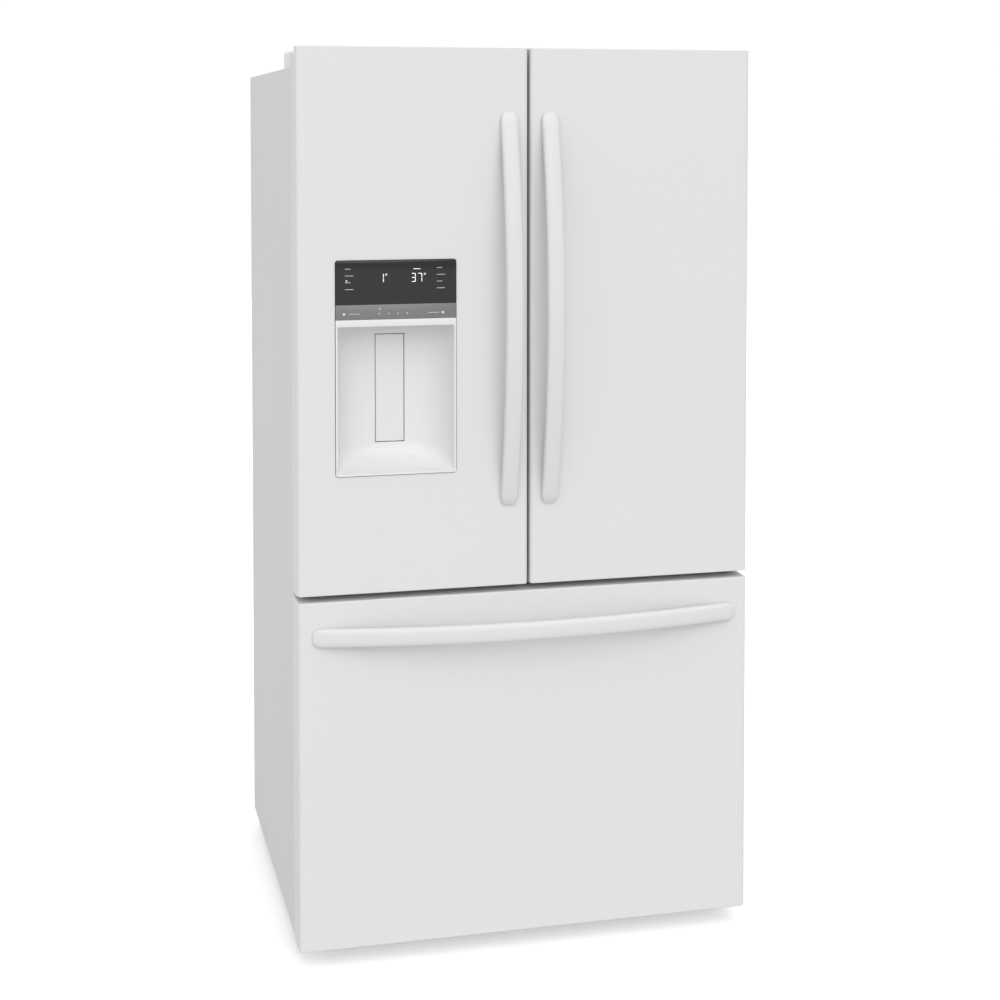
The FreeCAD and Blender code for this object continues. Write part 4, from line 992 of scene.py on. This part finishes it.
# %% Bin bands and basket ribs
for node in ("left_bins", "right_bins"):
    bands = []
    for low, high in solids_of(node):
        bands.append(soft_box("band", (low.x + 12 * MM, high.x - 12 * MM),
                              (high.y - 3.4 * MM, high.y - 0.4 * MM),
                              (high.z - 30 * MM, high.z - 12 * MM), 1.2 * MM, 3))
    settle(joined(node + "_bands", bands), "white_moulding", BODY_OF[node])
RIBS = 25
for node in ("lower_basket", "upper_basket"):
    x, y, z = span(node)
    pitch = (x[1] - x[0] - 80 * MM) / (RIBS - 1)
    bottom = grow_nodes(node + "_floor_ribs", BARS, "clear_bin", Count=RIBS,
                        First=(x[0] + 40 * MM, middle(y), z[0] + 3.6 * MM), Step=(pitch, 0, 0),
                        Bar_size=(3 * MM, y[1] - y[0] - 60 * MM, 1.6 * MM))
    settle(bottom, "clear_bin", BODY_OF[node])
print("ribs done")

# %% [markdown]
# ## The rooms
# Both liners are vacuum-formed from one white sheet: the walls run into each
# other with soft corners, and at the mouth the sheet turns out into a flange that
# the seals close on. Each room is an open box with bevelled inner edges and a
# flange, given the sheet's thickness on its hidden side.

# %% Formed liners
def formed_room(node, profile, half, flange):
    """Liner from a side profile of (y, z) points that starts at the mouth's foot and ends at its head."""
    mesh = bmesh.new()
    front = profile[0][0]
    left = [mesh.verts.new((-half, y, z)) for y, z in profile]
    right = [mesh.verts.new((half, y, z)) for y, z in profile]
    for i in range(len(profile) - 1):
        mesh.faces.new((left[i], right[i], right[i + 1], left[i + 1]))
    mesh.faces.new(left)
    mesh.faces.new(right[::-1])
    inner = [e for e in mesh.edges if not e.is_boundary and not lies_at(e, 1, front)]
    bevel(mesh, inner, 12 * MM, 5)
    flat = [f for f in mesh.faces if lies_at(f, 1, front)]
    bmesh.ops.delete(mesh, geom=flat, context="FACES")
    mouth = {0: (-half, half), 2: (profile[0][1], profile[-1][1])}
    for v in skirt_points(mesh, [e for e in mesh.edges if lies_at(e, 1, front)]):
        for axis, (low, high) in mouth.items():
            outer = flange[axis]
            v.co[axis] = outer[0] + (v.co[axis] - low) / (high - low) * (outer[1] - outer[0])
    return thickened(object_from(node + "_formed", mesh), 1.6 * MM, (0, -1, 0))


CASE_FRONT = span("cabinet_shell")[1][0]
fresh = span("fresh_food_liner")
cold = span("freezer_liner")
LINER = 2 * MM
HALF_ROOM = span("shelf_frames")[0][1] + 1 * MM
room_back = fresh[1][1] - LINER
fresh_floor, fresh_roof = fresh[2][0] + LINER, span("air_tower")[2][1]
fresh_room = formed_room("fresh_food_liner",
                         [(CASE_FRONT, fresh_floor), (room_back, fresh_floor), (room_back, fresh_roof),
                          (CASE_FRONT, fresh_roof)], HALF_ROOM, fresh)
step_back = span("lower_basket")[1][1] + 20 * MM
step_top, cold_roof = span("evaporator_cover")[2]
cold_floor = 112 * MM
cold_room = formed_room("freezer_liner",
                        [(CASE_FRONT, cold_floor), (step_back, cold_floor), (step_back, step_top),
                         (room_back, step_top), (room_back, cold_roof), (CASE_FRONT, cold_roof)],
                        HALF_ROOM, cold)
print("rooms reach y", round(max(v.co.y for v in fresh_room.data.vertices), 4))

# %% [markdown]
# ### Ledges, guides and the filter's socket
# Ledges are formed in the side walls under each shelf, guides carry the upper
# basket, and the filter plugs into a socket under the roof.

# %% Ledges and socket
def beside_wall(side, out):
    """(low, high) in x of a strip that stands out from the room's side wall, -1 for left."""
    return sorted((side * (HALF_ROOM - out), side * (HALF_ROOM + 1 * MM)))


extras = []
for low, high in solids_of("shelf_frames"):
    for side, end in ((-1, low.x), (1, high.x)):
        if abs(end) > HALF_ROOM - 3 * MM:
            extras.append(soft_box("ledge", beside_wall(side, 6 * MM), (low.y + 20 * MM, high.y),
                                   (low.z - 8 * MM, low.z), 2.5 * MM))
x, y, z = span("water_filter")
r = (x[1] - x[0]) / 2 / MM
extras.append(turned("socket", [(r + 8, 0), (r + 8, 56), (r + 4, 60), (1, 60)],
                     (middle(x), y[1] - 20 * MM, middle(z)), (0, 1, 0)))
settle(joined("fresh_fittings", [fresh_room] + extras), "white_liner", "cabinet",
       stands_for=["fresh_food_liner"], smooth=40)
guides = []
base = span("upper_basket")[2][0]
for side in (-1, 1):
    guides.append(soft_box("guide", beside_wall(side, 22 * MM), (CASE_FRONT + 30 * MM, room_back - 40 * MM),
                           (base - 8.5 * MM, base - 0.5 * MM), 2 * MM))
settle(joined("cold_fittings", [cold_room] + guides), "white_liner", "cabinet", stands_for=["freezer_liner"],
       smooth=40)
print(len(extras), "fittings in the fresh room")

# %% [markdown]
# ## Moulded fittings
# Shelves, hinges, lenses, the ice room and other fittings keep their CAD shapes
# with softened edges. Louvres cover the freezer's back, made by the bar tree.

# %% Softened fittings
SOFT = {"shelf_frames": 1.6, "toe_grille": 0.9, "drawer_liner": 0.7, "right_door_liner": 0.7,
        "ice_housing": 2.5, "light_lenses": 1.5, "top_hinges": 0.8, "centre_hinges": 0.8, "shelf_glass": 0.8,
        "ice_maker": 1.2, "water_valve": 0.8}
for node, width in SOFT.items():
    settle(soft_copy(node, width * MM), SLOT_OF[node], BODY_OF[node], stands_for=[node])
x, y, z = span("evaporator_cover", 0)
louvres = grow_nodes("freezer_louvres", BARS, "white_liner", Count=9,
                     First=(0, y[0] - 1.5 * MM, z[0] + 60 * MM), Step=(0, 0, 14 * MM),
                     Bar_size=(620 * MM, 6 * MM, 2.4 * MM), Tilt=(math.radians(-28), 0, 0))
settle(louvres, "white_liner", "cabinet", smooth=20)
print(len(SOFT), "softened nodes")

# %% [markdown]
# ## Rear panels and screws
# The two rear panels sit a little deeper than the cabinet's back edge, so that
# their screws stay inside it. The panels and the hinges are held by domed
# cross-head screws. Their places are lists of points, and the screw tree does
# the rest.

# %% Screw heads
def row(first, last, count):
    """Evenly spaced points from first to last."""
    first, last = Vector(first), Vector(last)
    return [first.lerp(last, i / (count - 1)) for i in range(count)]


cover = span("machine_cover")
panel = span("back_panel")
HEAD = 0.85 * MM
rear = cover[1][1] - HEAD - 0.05 * MM
for node in ("machine_cover", "back_panel"):
    plate = soft_copy(node, 0.12 * MM)
    front, back = span(node)[1]
    for v in plate.data.vertices:
        v.co.y = front + (v.co.y - front) * (rear - front) / (back - front)
    settle(plate, SLOT_OF[node], "cabinet", stands_for=[node])
side = cover[0][1] - 14 * MM
rear_points = []
for level in (cover[2][0] + 14 * MM, cover[2][1] - 9 * MM):
    rear_points += row((-side, rear, level), (side, rear, level), 7)
for x in (-side, side):
    rear_points += row((x, rear, panel[2][0] + 60 * MM), (x, rear, panel[2][1] - 20 * MM), 6)
settle(grow_nodes("rear_screws", SCREWS, "screw_steel", rear_points, Radius=4 * MM, Height=HEAD,
                  Turn=(math.radians(-90), 0, 0)), "screw_steel", "cabinet", slot="bare_steel")
hinge_points = []
for solid in range(2):
    x, y, z = span("hinge_covers", solid)
    hinge_points.append((middle(x), middle(y), z[1] - 0.9 * MM))
settle(grow_nodes("hinge_screws", SCREWS, "screw_steel", hinge_points, Radius=4.5 * MM, Height=2 * MM,
                  Turn=(0, 0, 0)), "screw_steel", "cabinet", slot="bare_steel")
print(len(rear_points) + len(hinge_points), "screws")

# %% [markdown]
# ## Machine space
# The condenser is a block of thin fins, which the bar tree repeats, on one tube
# that runs to and fro at six levels. The compressor gets its weld seam, terminal
# box and copper line. Lines are swept along a smooth curve and made a mesh.

# %% Condenser and compressor
x, y, z = span("condenser")
FINS = 48
fins = grow_nodes("condenser_fins", BARS, "copper_fins", Count=FINS,
                  First=(x[0] + 8 * MM, middle(y), middle(z) + 4 * MM),
                  Step=((x[1] - x[0] - 16 * MM) / (FINS - 1), 0, 0),
                  Bar_size=(0.5 * MM, y[1] - y[0], z[1] - z[0] - 10 * MM))
ends = [soft_box("end", (at, at + 2 * MM), y, z, 0.5 * MM, 2) for at in (x[0], x[1] - 2 * MM)]
settle(joined("condenser_block", [fins] + ends), "copper_fins", "cabinet", stands_for=["condenser"],
       smooth=25)


def pipe(name, points, radius):
    """Round tube along a smooth curve through points."""
    curve = bpy.data.curves.new(name, "CURVE")
    curve.dimensions = "3D"
    curve.bevel_depth = radius
    curve.bevel_resolution = 3
    curve.use_fill_caps = True
    line = curve.splines.new("NURBS")
    line.points.add(len(points) - 1)
    for place, point in zip(line.points, points):
        place.co = (*point, 1)
    line.use_endpoint_u = True
    line.order_u = 3
    line.resolution_u = 8
    holder = placed(name, curve)
    mesh = edit_mesh(baked(holder))
    bpy.data.objects.remove(holder)
    return object_from(name, mesh)


TUBE_RADIUS, TUBE_INSIDE, BEND_REACH = 4 * MM, 2 * MM, 14 * MM


def return_bend(at, turn, first, last):
    """U bend on one end of the block, between two tube ends given as (y, z)."""
    inside, reach = at - turn * TUBE_INSIDE, at + turn * BEND_REACH
    return pipe("bend", [(inside, *first), (reach, *first), (reach, *last), (inside, *last)], TUBE_RADIUS)


tubes = []
LOWEST_TUBE, TUBE_PITCH, ROW_PITCH = 21, 25, 40
LEVELS = [z[0] + (LOWEST_TUBE + TUBE_PITCH * i) * MM for i in range(6)]
FRONT_ROW, MID_ROW, BACK_ROW = (middle(y) + off * MM for off in (-ROW_PITCH, 0, ROW_PITCH))
for i, level in enumerate(LEVELS):
    tubes.append(return_bend(x[0], -1, (FRONT_ROW, level), (MID_ROW, level)))
    tubes.append(return_bend(x[1], 1, (MID_ROW, level), (BACK_ROW, level)))
    if i + 1 < len(LEVELS):
        end, turn, at_row = (x[0], -1, BACK_ROW) if i % 2 == 0 else (x[1], 1, FRONT_ROW)
        tubes.append(return_bend(end, turn, (at_row, level), (at_row, LEVELS[i + 1])))
can = span("compressor")
can_x, can_y = middle(can[0]) + 12 * MM, middle(can[1])
turn_x = x[1] + 16 * MM
tubes.append(pipe("discharge", [(can_x - 60 * MM, can_y - 30 * MM, 0.19), (0.16, can_y - 45 * MM, 0.20),
                                (0.10, can_y - 50 * MM, 0.262), (-0.05, can_y - 50 * MM, 0.268),
                                (turn_x, FRONT_ROW, 0.255), (turn_x, FRONT_ROW, LEVELS[-1]),
                                (x[1] - 2 * MM, FRONT_ROW, LEVELS[-1])], 3.2 * MM))
settle(joined("copper_lines", tubes), "copper_tube", "cabinet", slot="copper_fins", smooth=60)
WELD_LEVEL, TERMINAL_Z = 0.150, (0.11, 0.19)
weld = turned("weld_seam", [(71, -2.5), (74, -2), (74.6, 0), (74, 2), (71, 2.5)], (can_x, can_y, WELD_LEVEL),
              (0, 0, 1), 64)
settle(weld, "black_steel", "cabinet", smooth=60)
terminal = soft_box("terminal_box", (can_x + 58 * MM, can_x + 94 * MM),
                    (can_y - 28 * MM, can_y + 28 * MM), TERMINAL_Z, 5 * MM)
settle(terminal, "black_moulding", "cabinet")
print(len(tubes), "copper tubes")

# %% [markdown]
# ## Feet and rollers
# A levelling foot is a moulded disc on a threaded stem. Rollers are turned with
# a crowned tread. The thread on each foot is a helix swept by the thread tree.

# %% Feet, rollers and threads
for which in ("left", "right"):
    x, y, z = span("levelling_leg_" + which)
    at = (middle(x), middle(y), 0.0)
    pad, top = (x[1] - x[0]) / 2 / MM, z[1] / MM
    foot = turned("foot", [(pad - 2, 0), (pad, 2), (pad, 5), (pad - 3, 8), (7, 9), (4.5, 10),
                           (4.5, top - 1), (3.6, top)], at, (0, 0, 1))
    thread = grow_nodes("crest", THREAD, "black_moulding", Turns=30.0, Radius=4.5 * MM,
                        Length=z[1] - 13 * MM, Wire=0.45 * MM, Base=(at[0], at[1], 11 * MM))
    settle(joined("foot_" + which, [foot, thread]), "black_moulding", "levelling_leg_" + which,
           stands_for=["levelling_leg_" + which])
    x, y, z = span("roller_" + which)
    r, wide = (z[1] - z[0]) / 2 / MM, (x[1] - x[0]) / MM
    half_tread = [(4.1, 0), (9, 0), (9, 2), (r - 4, 2), (r - 2.5, 0), (r - 0.8, 1), (r, 4)]
    tread = half_tread + [(radius, wide - across_it) for radius, across_it in reversed(half_tread)]
    tyre = turned("tyre", tread, (x[0], middle(y), middle(z)), (1, 0, 0), 48)
    settle(tyre, "black_moulding", "roller_" + which, stands_for=["roller_" + which])
x, y, z = span("water_filter")
r, length = (x[1] - x[0]) / 2 / MM, (y[1] - y[0]) / MM
GRIP = 12
profile = [(r - 4, GRIP), (r - 0.5, GRIP + 1), (r, GRIP + 4), (r, GRIP + 30), (r - 1.2, GRIP + 31),
           (r - 1.2, GRIP + 34), (r, GRIP + 35), (r, length - 34), (r - 4.1, length - 31),
           (r - 4.1, length - 2), (r - 6, length)]
filter_body = turned("filter_turned", profile, (middle(x), y[0], middle(z)), (0, 1, 0), 56)
wing = soft_box("wing", grown((middle(x), middle(x)), 4.5 * MM), (y[0], y[0] + (GRIP + 1) * MM),
                grown(z, -4 * MM), 3 * MM)
settle(joined("filter_cartridge", [filter_body, wing]), "filter_white", "water_filter",
       stands_for=["water_filter"])
print("feet, rollers and filter done")

# %% [markdown]
# ## Finishes on what stays
# The CAD nodes that are shown as they are only need their finish. It goes into
# each one's material slot, by the slot name that the record gives it.

# %% Finish the other nodes
kept = []
for node, obj in NODES.items():
    if obj.hide_render:
        continue
    obj.data.materials.clear()
    obj.data.materials.append(FINISH[SLOT_OF[node]])
    kept.append(node)
print(len(kept), "nodes keep their CAD shape:", kept)

# %% [markdown]
# ## The floor
# A plain pale floor runs far behind the refrigerator, so that it meets the white
# studio without a line. It glows a little, like a light table, which thins the
# shadow. It throws no light back up, because the even studio light already does
# that. It belongs to the stage, not to the object.

# %% Floor
FLOOR = 14.0
floor_mesh = bpy.data.meshes.new("floor")
floor_mesh.from_pydata([(x * FLOOR, y * FLOOR, 0) for x, y in ((-1, -1), (1, -1), (1, 1), (-1, 1))], [],
                       [(0, 1, 2, 3)])
floor = placed("floor", floor_mesh)
finish("floor_pale", (0.95, 0.95, 0.95), (0.93, 0.93, 0.93), (0.55, 0.65), 40, 0.00002, drift=0.8,
       Emission_Color=(1, 1, 1, 1), Emission_Strength=0.22)
floor_mesh.materials.append(FINISH["floor_pale"])
floor.visible_diffuse = False
